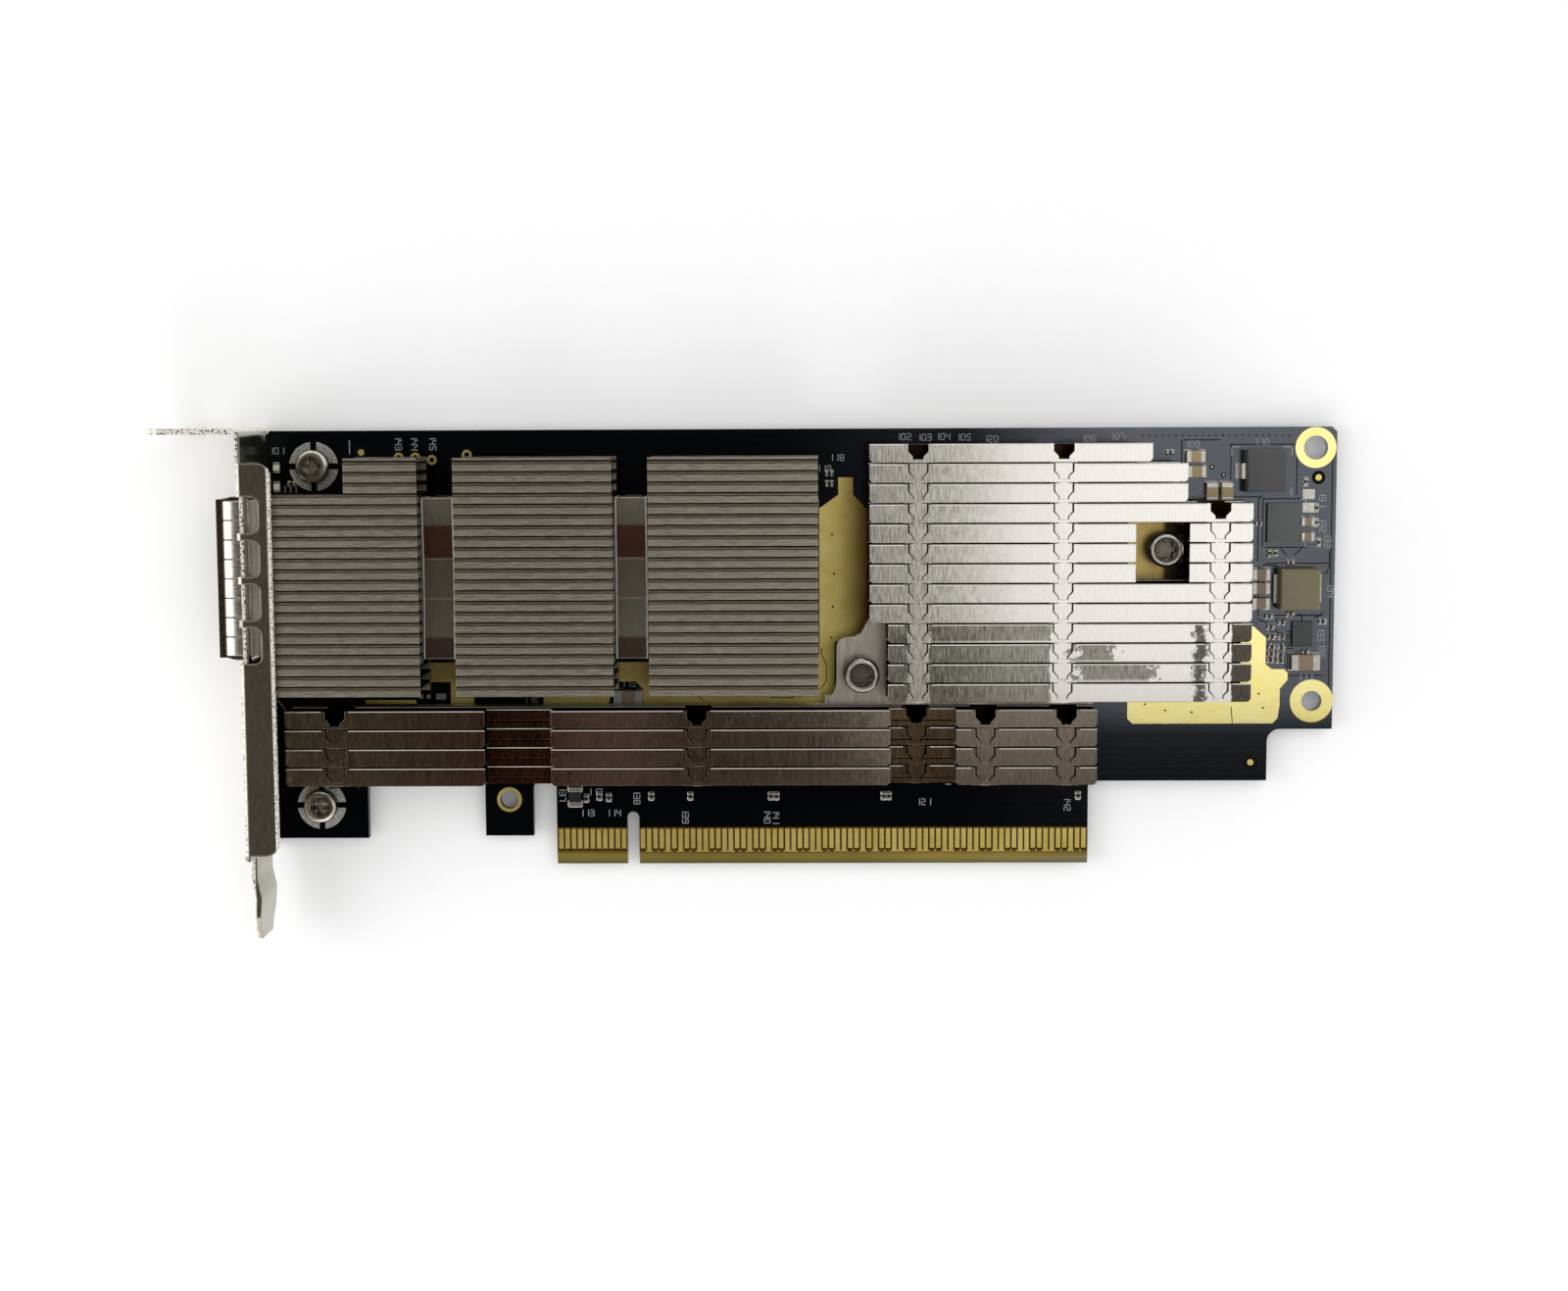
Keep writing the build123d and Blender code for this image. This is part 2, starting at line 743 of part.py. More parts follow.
# Spring-finger collar around the nose, which grounds the cage in the bracket
finger_start = cage_front + collar_rim
finger_end = outer_face + bracket_sheet
finger_span = finger_end - finger_start


def bowed_finger(plane):
    """Side view of one spring finger: a thin strip that bows away from the cage."""
    middle = finger_start + finger_span / 2
    with BuildSketch(plane) as strip:
        with BuildLine():
            ThreePointArc((finger_start, 0), (middle, collar_finger_bow), (finger_end, 0))
            Line((finger_end, 0), (finger_end, collar_sheet))
            ThreePointArc((finger_end, collar_sheet),
                          (middle, collar_finger_bow + collar_sheet),
                          (finger_start, collar_sheet))
            Line((finger_start, collar_sheet), (finger_start, 0))
        make_face()
    return strip.sketch


wide_pitch = cage_width / collar_fingers_wide
high_pitch = (cage_top - cage_foot) / collar_fingers_high
with BuildPart() as nose_collar:
    with BuildSketch(Plane.YZ.offset(cage_front)):
        with Locations((port_y, (cage_foot + cage_top) / 2)):
            Rectangle(cage_width + 2 * (collar_gap + collar_sheet),
                      cage_top - cage_foot + 2 * (collar_gap + collar_sheet))
            Rectangle(cage_width + 2 * collar_gap,
                      cage_top - cage_foot + 2 * collar_gap, mode=Mode.SUBTRACT)
    extrude(amount=collar_rim)
    for i in range(collar_fingers_wide):
        finger_y = cage_low_side + (i + 0.5) * wide_pitch
        for level, up in ((cage_top + collar_gap, 1), (cage_foot - collar_gap, -1)):
            side_view = Plane((0, finger_y, level), x_dir=(1, 0, 0), z_dir=(0, -up, 0))
            extrude(bowed_finger(side_view), amount=(wide_pitch - collar_finger_gap) / 2, both=True)
    for i in range(collar_fingers_high):
        finger_z = cage_foot + (i + 0.5) * high_pitch
        for level, out in ((cage_high_side + collar_gap, 1), (cage_low_side - collar_gap, -1)):
            side_view = Plane((0, level, finger_z), x_dir=(1, 0, 0), z_dir=(0, 0, out))
            extrude(bowed_finger(side_view), amount=(high_pitch - collar_finger_gap) / 2, both=True)
nose_collar.part.label = "nose_collar"
export_step(nose_collar.part, "parts/nose_collar.step")

# Host connector at the back of the cage, with its two rows of contacts
host_front = cage_back - cage_sheet - host_length
host_low = inner_foot
host_half = inner_half - host_side_gap

with BuildPart() as host_connector:
    with BuildSketch(Plane.YZ.offset(host_front)):
        with Locations((port_y, host_low + host_height / 2)):
            Rectangle(2 * host_half, host_height)
    extrude(amount=host_length)
    with BuildSketch(Plane.YZ.offset(host_front)):
        with Locations((port_y, host_low + host_height / 2)):
            Rectangle(2 * host_half - 2 * host_slot_wall, host_slot_height)
    extrude(amount=host_slot_depth, mode=Mode.SUBTRACT)
host_connector.part.label = "host_connector"
export_step(host_connector.part, "parts/host_connector.step")

with BuildPart() as host_contacts:
    row_height = (host_slot_height - host_contact_height) / 2
    for side in (-1, 1):
        with BuildSketch(Plane.YZ.offset(host_front)):
            with Locations((port_y, host_low + host_height / 2 + side * row_height)):
                with GridLocations(host_contact_pitch, 1, host_contact_count, 1):
                    Rectangle(host_contact_width, host_contact_height)
        extrude(amount=host_slot_depth)
host_contacts.part.label = "host_contacts"
export_step(host_contacts.part, "parts/host_contacts.step")

# Riding heatsink: a folded saddle over the cage that carries three blocks of fins
wall_inner_low = cage_low_side - saddle_gap
wall_inner_high = cage_high_side + saddle_gap
wall_outer_low = wall_inner_low - saddle_wall
wall_outer_high = wall_inner_high + saddle_wall
link_low = over_cage_low - fin_sheet
link_high = over_cage_high - fin_sheet


def box_outline(low, high, bottom, top, x):
    """A rectangle in the width-height plane at x, from its four limits."""
    with BuildSketch(Plane.YZ.offset(x)) as outline:
        with Locations(((low + high) / 2, (bottom + top) / 2)):
            Rectangle(high - low, top - bottom)
    return outline.sketch


fin_blocks = {
    "fin_block_front": (block_front_left, block_front_screw_clear, block_front_right),
    "fin_block_middle": (block_middle_left, block_middle_left, block_middle_right),
    "fin_block_rear": (block_rear_left, block_rear_left, block_rear_right),
}

with BuildPart() as cage_saddle:
    span = block_rear_right - block_front_left
    extrude(box_outline(cage_low_side + saddle_gap, cage_high_side - saddle_gap,
                        cage_top, saddle_top, block_front_left), amount=span)
    for left, upper_left, right in fin_blocks.values():
        extrude(box_outline(over_cage_low, link_high, cage_top, saddle_top, left),
                amount=right - left)
        extrude(box_outline(wall_outer_low, wall_inner_low, saddle_flange_low, saddle_top, left),
                amount=right - left)
        extrude(box_outline(fins_low, wall_outer_low, saddle_flange_low, flange_top, left),
                amount=right - left)
        extrude(box_outline(wall_inner_high, wall_outer_high, saddle_flange_low, saddle_top,
                            upper_left), amount=right - upper_left)
        extrude(box_outline(wall_outer_high, fins_high, saddle_flange_low, flange_top,
                            upper_left), amount=right - upper_left)
    with BuildSketch(Plane.XY.offset(cage_top)):
        with Locations((window_start + window_length / 2, port_y)):
            Rectangle(window_length - 2 * pedestal_clearance,
                      window_width - 2 * pedestal_clearance)
    extrude(amount=-pedestal_depth)
cage_saddle.part.label = "cage_saddle"
export_step(cage_saddle.part, "parts/cage_saddle.step")


def fin_profile(low, rows, foot, x):
    """Rows of folded fins seen from the end: a foot sheet, upright webs and flat tops."""
    high = low + rows * fin_pitch
    with BuildSketch(Plane.YZ.offset(x)) as profile:
        with Locations(((low + high) / 2, foot + fin_sheet / 2)):
            Rectangle(high - low, fin_sheet)
        row_highs = [low + (row + 1) * fin_pitch for row in range(rows)]
        with Locations(*[(y - fin_sheet / 2, (foot + fin_top) / 2) for y in row_highs]):
            Rectangle(fin_sheet, fin_top - foot)
        with Locations(*[(y - (fin_pitch - fin_gap) / 2, fin_top - fin_sheet / 2)
                         for y in row_highs]):
            Rectangle(fin_pitch - fin_gap, fin_sheet)
    return profile.sketch


def fin_block(left, upper_left, right):
    """One block: rows over the cage and deeper rows hanging beside it on both sides."""
    with BuildPart() as block:
        extrude(fin_profile(over_cage_low, fin_rows_over_cage, saddle_top, left),
                amount=right - left)
        extrude(fin_profile(fins_low, fin_rows_beside_cage, flange_top, left),
                amount=right - left)
        extrude(fin_profile(over_cage_high, fin_rows_beside_cage, flange_top, upper_left),
                amount=right - upper_left)
        extrude(box_outline(link_high, over_cage_high, flange_top, fin_top, upper_left),
                amount=right - upper_left)
        extrude(box_outline(fins_high - fin_edge_lip, fins_high, fin_top - fin_sheet, fin_top,
                            upper_left), amount=right - upper_left)
    return block.part


with BuildPart() as fin_block_front:
    add(fin_block(*fin_blocks["fin_block_front"]))
fin_block_front.part.label = "fin_block_front"
export_step(fin_block_front.part, "parts/fin_block_front.step")

with BuildPart() as fin_block_middle:
    add(fin_block(*fin_blocks["fin_block_middle"]))
fin_block_middle.part.label = "fin_block_middle"
export_step(fin_block_middle.part, "parts/fin_block_middle.step")

with BuildPart() as fin_block_rear:
    add(fin_block(*fin_blocks["fin_block_rear"]))
fin_block_rear.part.label = "fin_block_rear"
export_step(fin_block_rear.part, "parts/fin_block_rear.step")


# Spring straps: thin sheet bridges that clip to the cage between the blocks
def strap(bay_left, bay_right):
    """Flat in the middle, rising to the shoulders, with a latched leg down each side."""
    left = bay_left + strap_side_gap
    width = bay_right - bay_left - 2 * strap_side_gap
    shoulder_y = cage_width / 2 + saddle_gap + strap_sheet
    with BuildPart() as bridge:
        with BuildSketch(Plane.YZ.offset(left)):
            with BuildLine():
                crown = Polyline(
                    (port_y - shoulder_y, strap_leg_low),
                    (port_y - shoulder_y, saddle_top + strap_rise),
                    (port_y - strap_flat / 2, saddle_top + strap_sheet),
                    (port_y + strap_flat / 2, saddle_top + strap_sheet),
                    (port_y + shoulder_y, saddle_top + strap_rise),
                    (port_y + shoulder_y, strap_leg_low),
                )
                offset(crown, amount=strap_sheet, side=Side.RIGHT)
            make_face()
        extrude(amount=width)
        outer_top = (
            bridge.edges()
            .filter_by(lambda edge: min(abs(edge.center().X - left),
                                        abs(edge.center().X - left - width)) < strap_edge_break)
            .filter_by(lambda edge: edge.center().Z > saddle_top + strap_sheet / 2 + strap_rise / 3
                       or (edge.center().Z > saddle_top + strap_sheet / 2
                           and abs(edge.center().Y - port_y) < strap_flat / 2))
            .filter_by(lambda edge: edge.length > 2 * strap_sheet)
        )
        chamfer(outer_top, strap_edge_break)
        with BuildSketch(Plane.XZ.offset(-port_y)):
            with Locations((left + width / 2, latch_z)):
                Rectangle(strap_latch_width, strap_latch_height)
        extrude(amount=cage_width, both=True, mode=Mode.SUBTRACT)
    return bridge.part


with BuildPart() as strap_front:
    add(strap(*strap_bays[0]))
strap_front.part.label = "strap_front"
export_step(strap_front.part, "parts/strap_front.step")

with BuildPart() as strap_rear:
    add(strap(*strap_bays[1]))
strap_rear.part.label = "strap_rear"
export_step(strap_rear.part, "parts/strap_rear.step")

# Controller: package, lid and thermal pad under the heatsink
with BuildPart() as controller_package:
    with BuildSketch():
        with Locations((chip_x, chip_y)):
            Rectangle(package_size, package_size)
    extrude(amount=package_height)
controller_package.part.label = "controller_package"
export_step(controller_package.part, "parts/controller_package.step")

with BuildPart() as controller_lid:
    with BuildSketch(Plane.XY.offset(package_height)):
        with Locations((chip_x, chip_y)):
            RectangleRounded(lid_size, lid_size, 1.0)
    extrude(amount=lid_height)
controller_lid.part.label = "controller_lid"
export_step(controller_lid.part, "parts/controller_lid.step")

with BuildPart() as thermal_pad:
    with BuildSketch(Plane.XY.offset(package_height + lid_height)):
        with Locations((chip_x, chip_y)):
            Rectangle(lid_size - 2, lid_size - 2)
    extrude(amount=pad_height)
thermal_pad.part.label = "thermal_pad"
export_step(thermal_pad.part, "parts/thermal_pad.step")

# Heat pipe: a flattened tube let into the underside of the base plate
strip_middle = strip_top_edge - strip_rows * strip_row_pitch / 2
pipe_points = (
    (stack_right - 6, chip_y),
    (chip_x - pipe_turn_from_chip, chip_y),
    (stack_left + 1, strip_middle),
    (strip_left + 5, strip_middle),
)


def pipe_track(width, height, level):
    """A stroke of one width along the pipe's route, with rounded ends."""
    with BuildSketch(Plane.XY.offset(level)) as track:
        with BuildLine() as route:
            FilletPolyline(*pipe_points, radius=pipe_bend)
        trace(route.line, line_width=width)
        with Locations(pipe_points[0], pipe_points[-1]):
            Circle(width / 2)
    with BuildPart() as bar:
        extrude(track.sketch, amount=height)
    return bar.part


with BuildPart() as heat_pipe:
    add(pipe_track(pipe_width, pipe_thickness, base_low))
heat_pipe.part.label = "heat_pipe"
export_step(heat_pipe.part, "parts/heat_pipe.step")


def stack_row_span(row):
    """Left and right end of one row of the upper fin stack, counted from the top edge."""
    left = stack_left_low_rows if row >= stack_rows - stack_low_rows else stack_left
    right = stack_right
    if row == 0:
        right = stack_right_first_row
    elif row <= 2:
        right = stack_right_next_rows
    return left, right


def screw_window(left, right, level):
    """Outline of the rows that are cut out around the second spring screw."""
    window_top = stack_top_edge - screw_window_first_row * stack_row_pitch
    window_height = screw_window_rows * stack_row_pitch
    with BuildSketch(Plane.XY.offset(level)) as opening:
        with Locations(((left + right) / 2, window_top - window_height / 2)):
            Rectangle(right - left, window_height)
    return opening.sketch


# Base plate of the controller heatsink, with an ear for one screw and an arm for the strip
first_ear, second_ear = spring_screw_places
with BuildPart() as heatsink_base:
    with BuildSketch(Plane.XY.offset(base_low)):
        for row in range(stack_rows):
            left, right = stack_row_span(row)
            row_high = min(stack_top_edge - row * stack_row_pitch, stack_top_edge - base_top_inset)
            row_low = stack_top_edge - (row + 1) * stack_row_pitch
            with Locations(((left + right) / 2, (row_high + row_low) / 2)):
                Rectangle(right - left, row_high - row_low)
        arm_top = stack_bottom_edge + 0.1
        with Locations(((strip_left + strip_right) / 2, (arm_top + strip_bottom_edge) / 2)):
            Rectangle(strip_right - strip_left, arm_top - strip_bottom_edge)
        with Locations(((strip_left + block_rear_right + 1.0) / 2, arm_top)):
            Rectangle(block_rear_right + 1.0 - strip_left, 2 * (arm_top - strip_top_edge),
                      mode=Mode.SUBTRACT)
        with BuildLine():
            Polyline(
                (stack_left_low_rows + 1, first_ear[1] + ear_outline[0][1]),
                *[(first_ear[0] + x, first_ear[1] + y) for x, y in ear_outline],
                (stack_left_low_rows + 1, first_ear[1] + ear_outline[-1][1]),
                close=True,
            )
        make_face()
    extrude(amount=base_plate)
    extrude(round_spots(spring_screw_places, spring_screw_hole, base_low),
            amount=base_plate, mode=Mode.SUBTRACT)
    extrude(screw_window(screw_window_right - plate_in_window_inset,
                         screw_window_right + window_undercut, base_low),
            amount=base_plate, mode=Mode.SUBTRACT)
    add(pipe_track(pipe_width + 2 * pipe_clearance, pipe_thickness + pipe_clearance, base_low),
        mode=Mode.SUBTRACT)
heatsink_base.part.label = "heatsink_base"
export_step(heatsink_base.part, "parts/heatsink_base.step")


def funnel_points(row_top, pitch):
    """Outline of the opening at the joint between two rows, about its own middle line."""
    half = interlock_width / 2
    neck = interlock_neck / 2
    wide_low = row_top - interlock_wide_share * pitch
    neck_high = wide_low - (half - neck)
    neck_low = row_top - pitch + stack_gap + interlock_foot
    return [(-half, row_top), (-half, wide_low), (-neck, neck_high), (-neck, neck_low),
            (neck, neck_low), (neck, neck_high), (half, wide_low), (half, row_top)]


def fin_flats(rows, pitch, joints, level):
    """Flat tops of all rows, with the funnel-shaped openings where the fins interlock."""
    with BuildSketch(Plane.XY.offset(level)) as flats:
        for left, right, row_top in rows:
            with Locations(((left + right) / 2, row_top - (pitch + stack_gap) / 2 + stack_gap / 2)):
                Rectangle(right - left, pitch - stack_gap)
        row_lows = [row_top - pitch + stack_gap / 2 for left, right, row_top in rows]
        low_corners = [v for v in flats.vertices()
                       if min(abs(v.Y - low) for low in row_lows) < stack_gap / 4]
        fillet(low_corners, stack_corner)
        for x, row_top in joints:
            with BuildLine(Location((x, 0, level))):
                Polyline(*funnel_points(row_top, pitch), close=True)
            make_face(mode=Mode.SUBTRACT)
    return flats.sketch


def fin_webs(rows, pitch, level):
    """Upright sheets of all rows, along the lower edge of each flat top."""
    with BuildSketch(Plane.XY.offset(level)) as webs:
        for left, right, row_top in rows:
            with Locations(((left + right) / 2, row_top - pitch + stack_gap / 2 + stack_sheet / 2)):
                Rectangle(right - left - 2 * stack_corner, stack_sheet)
    return webs.sketch


def fin_hooks(joints, pitch, level):
    """Tongues that reach down from the row above into the openings, a little smaller."""
    with BuildSketch(Plane.XY.offset(level)) as hooks:
        for x, row_top in joints:
            with BuildLine(Location((x, 0, level))):
                Polyline(*[(px * hook_share, py) for px, py in funnel_points(row_top, pitch)],
                         close=True)
            make_face()
        with Locations(*[(x, row_top - pitch / 2) for x, row_top in joints]):
            Rectangle(hook_share * interlock_neck, pitch)
    return hooks.sketch


foot_top = base_top + stack_sheet
stack_spans = [
    (*stack_row_span(row), stack_top_edge - row * stack_row_pitch) for row in range(stack_rows)
]
stack_joints = [
    (x, row_top)
    for number, x in enumerate(stack_interlocks)
    for row, (left, right, row_top) in enumerate(stack_spans)
    if number < len(stack_interlocks) - 1 or row >= last_interlock_first_row
]
with BuildPart() as upper_fin_stack:
    with BuildSketch(Plane.XY.offset(base_top)):
        for left, right, row_top in stack_spans:
            row_high = min(row_top, stack_top_edge - base_top_inset)
            row_low = row_top - stack_row_pitch
            with Locations(((left + right) / 2, (row_high + row_low) / 2)):
                Rectangle(right - left, row_high - row_low)
    extrude(amount=stack_sheet)
    extrude(fin_webs(stack_spans, stack_row_pitch, foot_top), amount=stack_top - foot_top)
    extrude(fin_flats(stack_spans, stack_row_pitch, stack_joints, stack_top - stack_sheet),
            amount=stack_sheet)
    hooked = [(x, y) for x, y in stack_joints
              if any(x < right and abs(row_top - stack_row_pitch - y) < stack_gap
                     for left, right, row_top in stack_spans)]
    extrude(fin_hooks(hooked, stack_row_pitch, stack_top - stack_sheet - hook_drop),
            amount=stack_sheet)
    # window around the second spring screw
    extrude(screw_window(screw_window_left, screw_window_right, base_top),
            amount=stack_top - base_top, mode=Mode.SUBTRACT)
    extrude(screw_window(screw_window_left, screw_window_right + window_undercut, base_top),
            amount=stack_sheet, mode=Mode.SUBTRACT)
upper_fin_stack.part.label = "upper_fin_stack"
export_step(upper_fin_stack.part, "parts/upper_fin_stack.step")

strip_row_tops = [strip_top_edge - row * strip_row_pitch for row in range(strip_rows)]
strip_cuts = [strip_left] + [x for span in strip_recess_spans for x in span] + [strip_right]
strip_low_top = strip_top - strip_recess
with BuildPart() as lower_fin_strip:
    with BuildSketch(Plane.XY.offset(base_top)):
        with Locations(((strip_left + strip_right) / 2, strip_middle)):
            Rectangle(strip_right - strip_left, strip_rows * strip_row_pitch)
        with Locations((strip_foot_tab_left + strip_foot_tab_width / 2,
                        strip_bottom_edge - strip_foot_tab_reach / 2)):
            Rectangle(strip_foot_tab_width, strip_foot_tab_reach)
    extrude(amount=stack_sheet)
    full_webs = [(strip_left, strip_right, row_top) for row_top in strip_row_tops]
    extrude(fin_webs(full_webs, strip_row_pitch, foot_top), amount=strip_low_top - foot_top)
    high_spans = [
        (strip_cuts[i], strip_cuts[i + 1], row_top)
        for i in range(0, len(strip_cuts) - 1, 2) for row_top in strip_row_tops
    ]
    low_spans = [
        (strip_cuts[i], strip_cuts[i + 1], row_top)
        for i in range(1, len(strip_cuts) - 1, 2) for row_top in strip_row_tops
    ]
    strip_joints = [(x, row_top) for x in strip_interlocks for row_top in strip_row_tops]
    extrude(fin_webs(high_spans, strip_row_pitch, strip_low_top), amount=strip_recess)
    extrude(fin_flats(high_spans, strip_row_pitch, strip_joints, strip_top - stack_sheet),
            amount=stack_sheet)
    low_joints = [(x, row_top) for x in strip_low_interlocks for row_top in strip_row_tops]
    extrude(fin_flats(low_spans, strip_row_pitch, low_joints, strip_low_top - stack_sheet),
            amount=stack_sheet)
    # one narrow slit along each sunk top
    with BuildSketch(Plane.XY.offset(strip_low_top)):
        for left, right, row_top in low_spans:
            with Locations(((left + right) / 2, row_top - recess_slit_share * strip_row_pitch)):
                Rectangle(right - left - 2 * recess_slit_end, recess_slit)
    extrude(amount=-stack_sheet, mode=Mode.SUBTRACT)
    for joints, level in ((strip_joints, strip_top), (low_joints, strip_low_top)):
        hooked = [(x, y) for x, y in joints if y < strip_top_edge - stack_gap]
        extrude(fin_hooks(hooked, strip_row_pitch, level - stack_sheet - hook_drop),
                amount=stack_sheet)
lower_fin_strip.part.label = "lower_fin_strip"
export_step(lower_fin_strip.part, "parts/lower_fin_strip.step")

# Threaded standoffs pressed into the board, which stop the base plate
with BuildPart() as heatsink_standoffs:
    extrude(round_spots(spring_screw_places, standoff_radius), amount=base_low)
    extrude(round_spots(spring_screw_places, standoff_shank), amount=-board_thickness)
    extrude(round_spots(spring_screw_places, standoff_hole, board_back),
            amount=board_thickness + base_low, mode=Mode.SUBTRACT)
heatsink_standoffs.part.label = "heatsink_standoffs"
export_step(heatsink_standoffs.part, "parts/heatsink_standoffs.step")

# Spring screws: a six-lobe head on a plain shank
screw_head_low = base_top + spring_height
with BuildPart() as spring_screws:
    extrude(round_spots(spring_screw_places, spring_screw_head_radius, screw_head_low),
            amount=spring_screw_head_height)
    head_rims = spring_screws.edges().filter_by(GeomType.CIRCLE).group_by(Axis.Z)[-1]
    fillet(head_rims, head_rim_fillet)
    extrude(round_spots(spring_screw_places, spring_screw_shank, board_back),
            amount=screw_head_low - board_back)
    extrude(round_spots(spring_screw_places, dish_radius,
                        screw_head_low + spring_screw_head_height),
            amount=-dish_depth, mode=Mode.SUBTRACT)
    with BuildSketch(Plane.XY.offset(screw_head_low + spring_screw_head_height)):
        for place in spring_screw_places:
            with Locations(place):
                Circle(lobe_circle)
                with PolarLocations(lobe_circle, 6):
                    Circle(lobe_radius)
    extrude(amount=-recess_depth, mode=Mode.SUBTRACT)
spring_screws.part.label = "spring_screws"
export_step(spring_screws.part, "parts/spring_screws.step")

# Compression springs under the heads
spring_pitch = (spring_height - spring_wire) / spring_turns


def coil_spring(place):
    """A round wire swept along a helix that stands on the base plate."""
    with BuildPart() as spring:
        with BuildLine() as coil:
            Helix(pitch=spring_pitch, height=spring_pitch * spring_turns, radius=spring_radius,
                  center=(place[0], place[1], base_top + spring_wire / 2))
        start = coil.line @ 0
        with BuildSketch(Plane(start, z_dir=coil.line % 0)):
            Circle(spring_wire / 2)
        sweep(path=coil.line)
    return spring.part


with BuildPart() as screw_springs:
    for place in spring_screw_places:
        add(coil_spring(place))
screw_springs.part.label = "screw_springs"
export_step(screw_springs.part, "parts/screw_springs.step")

# Bracket screws: domed heads with a cross recess, threaded into the bracket's ears
screw_end = bracket_low + screw_end_above_bracket_edge
with BuildPart() as bracket_screws:
    extrude(round_spots(bracket_holes, pan_head_radius, pad_thickness), amount=pan_head_height)
    head_rims = bracket_screws.edges().filter_by(GeomType.CIRCLE).group_by(Axis.Z)[-1]
    fillet(head_rims, pan_head_crown)
    extrude(round_spots(bracket_holes, pan_shank_radius, screw_end),
            amount=pad_thickness - screw_end)
    with BuildSketch(Plane.XY.offset(pad_thickness + pan_head_height)):
        with Locations(*bracket_holes):
            Rectangle(cross_length, cross_width)
            Rectangle(cross_width, cross_length)
    extrude(amount=-cross_depth, mode=Mode.SUBTRACT)
bracket_screws.part.label = "bracket_screws"
export_step(bracket_screws.part, "parts/bracket_screws.step")

# Power parts at the far end of the board
dimple_inset = 0.6
dimple_radius = 0.22
dimple_depth = 0.08
power_stage_height = 0.9
regulator_height = 0.85
coil_height = 3.5
coil_lift = 0.3
coil_centre = (right_edge - 11.5, 62.1)
coil_size = (6.1, 6.5)
coil_clip_size = (1.3, 2.4)
coil_clip_height = 2.2
hidden_clip_inset = 0.4
small_coil_centre = (right_edge - 6.0, 43.7)
small_coil_size = (6.2, 6.3)
small_coil_pad = (1.2, 4.4)
lead_height = 0.8

with BuildPart() as power_inductor:
    with BuildSketch(Plane.XY.offset(coil_lift)):
        with Locations(coil_centre):
            Rectangle(*coil_size)
    extrude(amount=coil_height - coil_lift)
    chamfer(power_inductor.edges().group_by(Axis.Z)[-1], 0.25)
power_inductor.part.label = "power_inductor"
export_step(power_inductor.part, "parts/power_inductor.step")

with BuildPart() as power_inductor_leads:
    with BuildSketch():
        strip_length = coil_size[0] + coil_clip_size[0] - hidden_clip_inset
        strip_x = coil_centre[0] - (coil_clip_size[0] + hidden_clip_inset) / 2
        with Locations((strip_x, coil_centre[1])):
            Rectangle(strip_length, coil_clip_size[1])
    extrude(amount=coil_lift)
    with BuildSketch(Plane.XY.offset(coil_lift)):
        lead_x = coil_centre[0] - (coil_size[0] + coil_clip_size[0] / 2) / 2
        with Locations((lead_x, coil_centre[1])):
            Rectangle(coil_clip_size[0] / 2, coil_clip_size[1])
    extrude(amount=coil_clip_height)
power_inductor_leads.part.label = "power_inductor_leads"
export_step(power_inductor_leads.part, "parts/power_inductor_leads.step")

with BuildPart() as core_inductor:
    with BuildSketch(Plane.XY.offset(coil_lift)):
        with Locations(small_coil_centre):
            Rectangle(*small_coil_size)
    extrude(amount=coil_height - coil_lift)
    chamfer(core_inductor.edges().group_by(Axis.Z)[-1], 0.25)
core_inductor.part.label = "core_inductor"
export_step(core_inductor.part, "parts/core_inductor.step")

with BuildPart() as core_inductor_leads:
    with BuildSketch():
        with Locations(small_coil_centre):
            Rectangle(small_coil_size[0] + small_coil_pad[0], small_coil_pad[1])
    extrude(amount=coil_lift)
    with BuildSketch(Plane.XY.offset(coil_lift)):
        for side in (-1, 1):
            lead_x = small_coil_centre[0] + side * (small_coil_size[0] + small_coil_pad[0] / 2) / 2
            with Locations((lead_x, small_coil_centre[1])):
                Rectangle(small_coil_pad[0] / 2, small_coil_pad[1])
    extrude(amount=lead_height)
core_inductor_leads.part.label = "core_inductor_leads"
export_step(core_inductor_leads.part, "parts/core_inductor_leads.step")


def flat_package(place, size, height):
    """A moulded chip package with a pin-one dimple."""
    dimple_x = place[0] - size[0] / 2 + dimple_inset
    dimple_y = place[1] + size[1] / 2 - dimple_inset
    with BuildPart() as package:
        with BuildSketch():
            with Locations(place):
                Rectangle(*size)
        extrude(amount=height)
        extrude(round_spots([(dimple_x, dimple_y)], dimple_radius, height),
                amount=-dimple_depth, mode=Mode.SUBTRACT)
    return package.part


with BuildPart() as power_stage:
    add(flat_package((right_edge - 8.2, 54.0), (5.2, 6.1), power_stage_height))
power_stage.part.label = "power_stage"
export_step(power_stage.part, "parts/power_stage.step")

with BuildPart() as regulator_chip:
    add(flat_package((right_edge - 5.05, 36.5), (3.1, 4.0), regulator_height))
regulator_chip.part.label = "regulator_chip"
export_step(regulator_chip.part, "parts/regulator_chip.step")

# Bare footprints: pads with nothing on them but a thin layer of solder
solder_height = 0.12
large_pads = ((right_edge - 4.3, 58.4), (right_edge - 4.3, 56.3))
large_pad_size = (1.9, 1.55)
medium_pads = ((-30.25, 26.95), (-30.25, 25.3))
medium_pad_size = (1.5, 0.9)
small_pads = ((-33.4, 26.95), (-32.25, 26.95), (-33.4, 25.3), (-32.25, 25.3))
small_pad_size = (0.6, 0.6)

with BuildPart() as open_pads:
    with BuildSketch():
        for pads, size in ((large_pads, large_pad_size), (medium_pads, medium_pad_size),
                           (small_pads, small_pad_size)):
            with Locations(*pads):
                Rectangle(*size)
    extrude(amount=solder_height)
open_pads.part.label = "open_pads"
export_step(open_pads.part, "parts/open_pads.step")

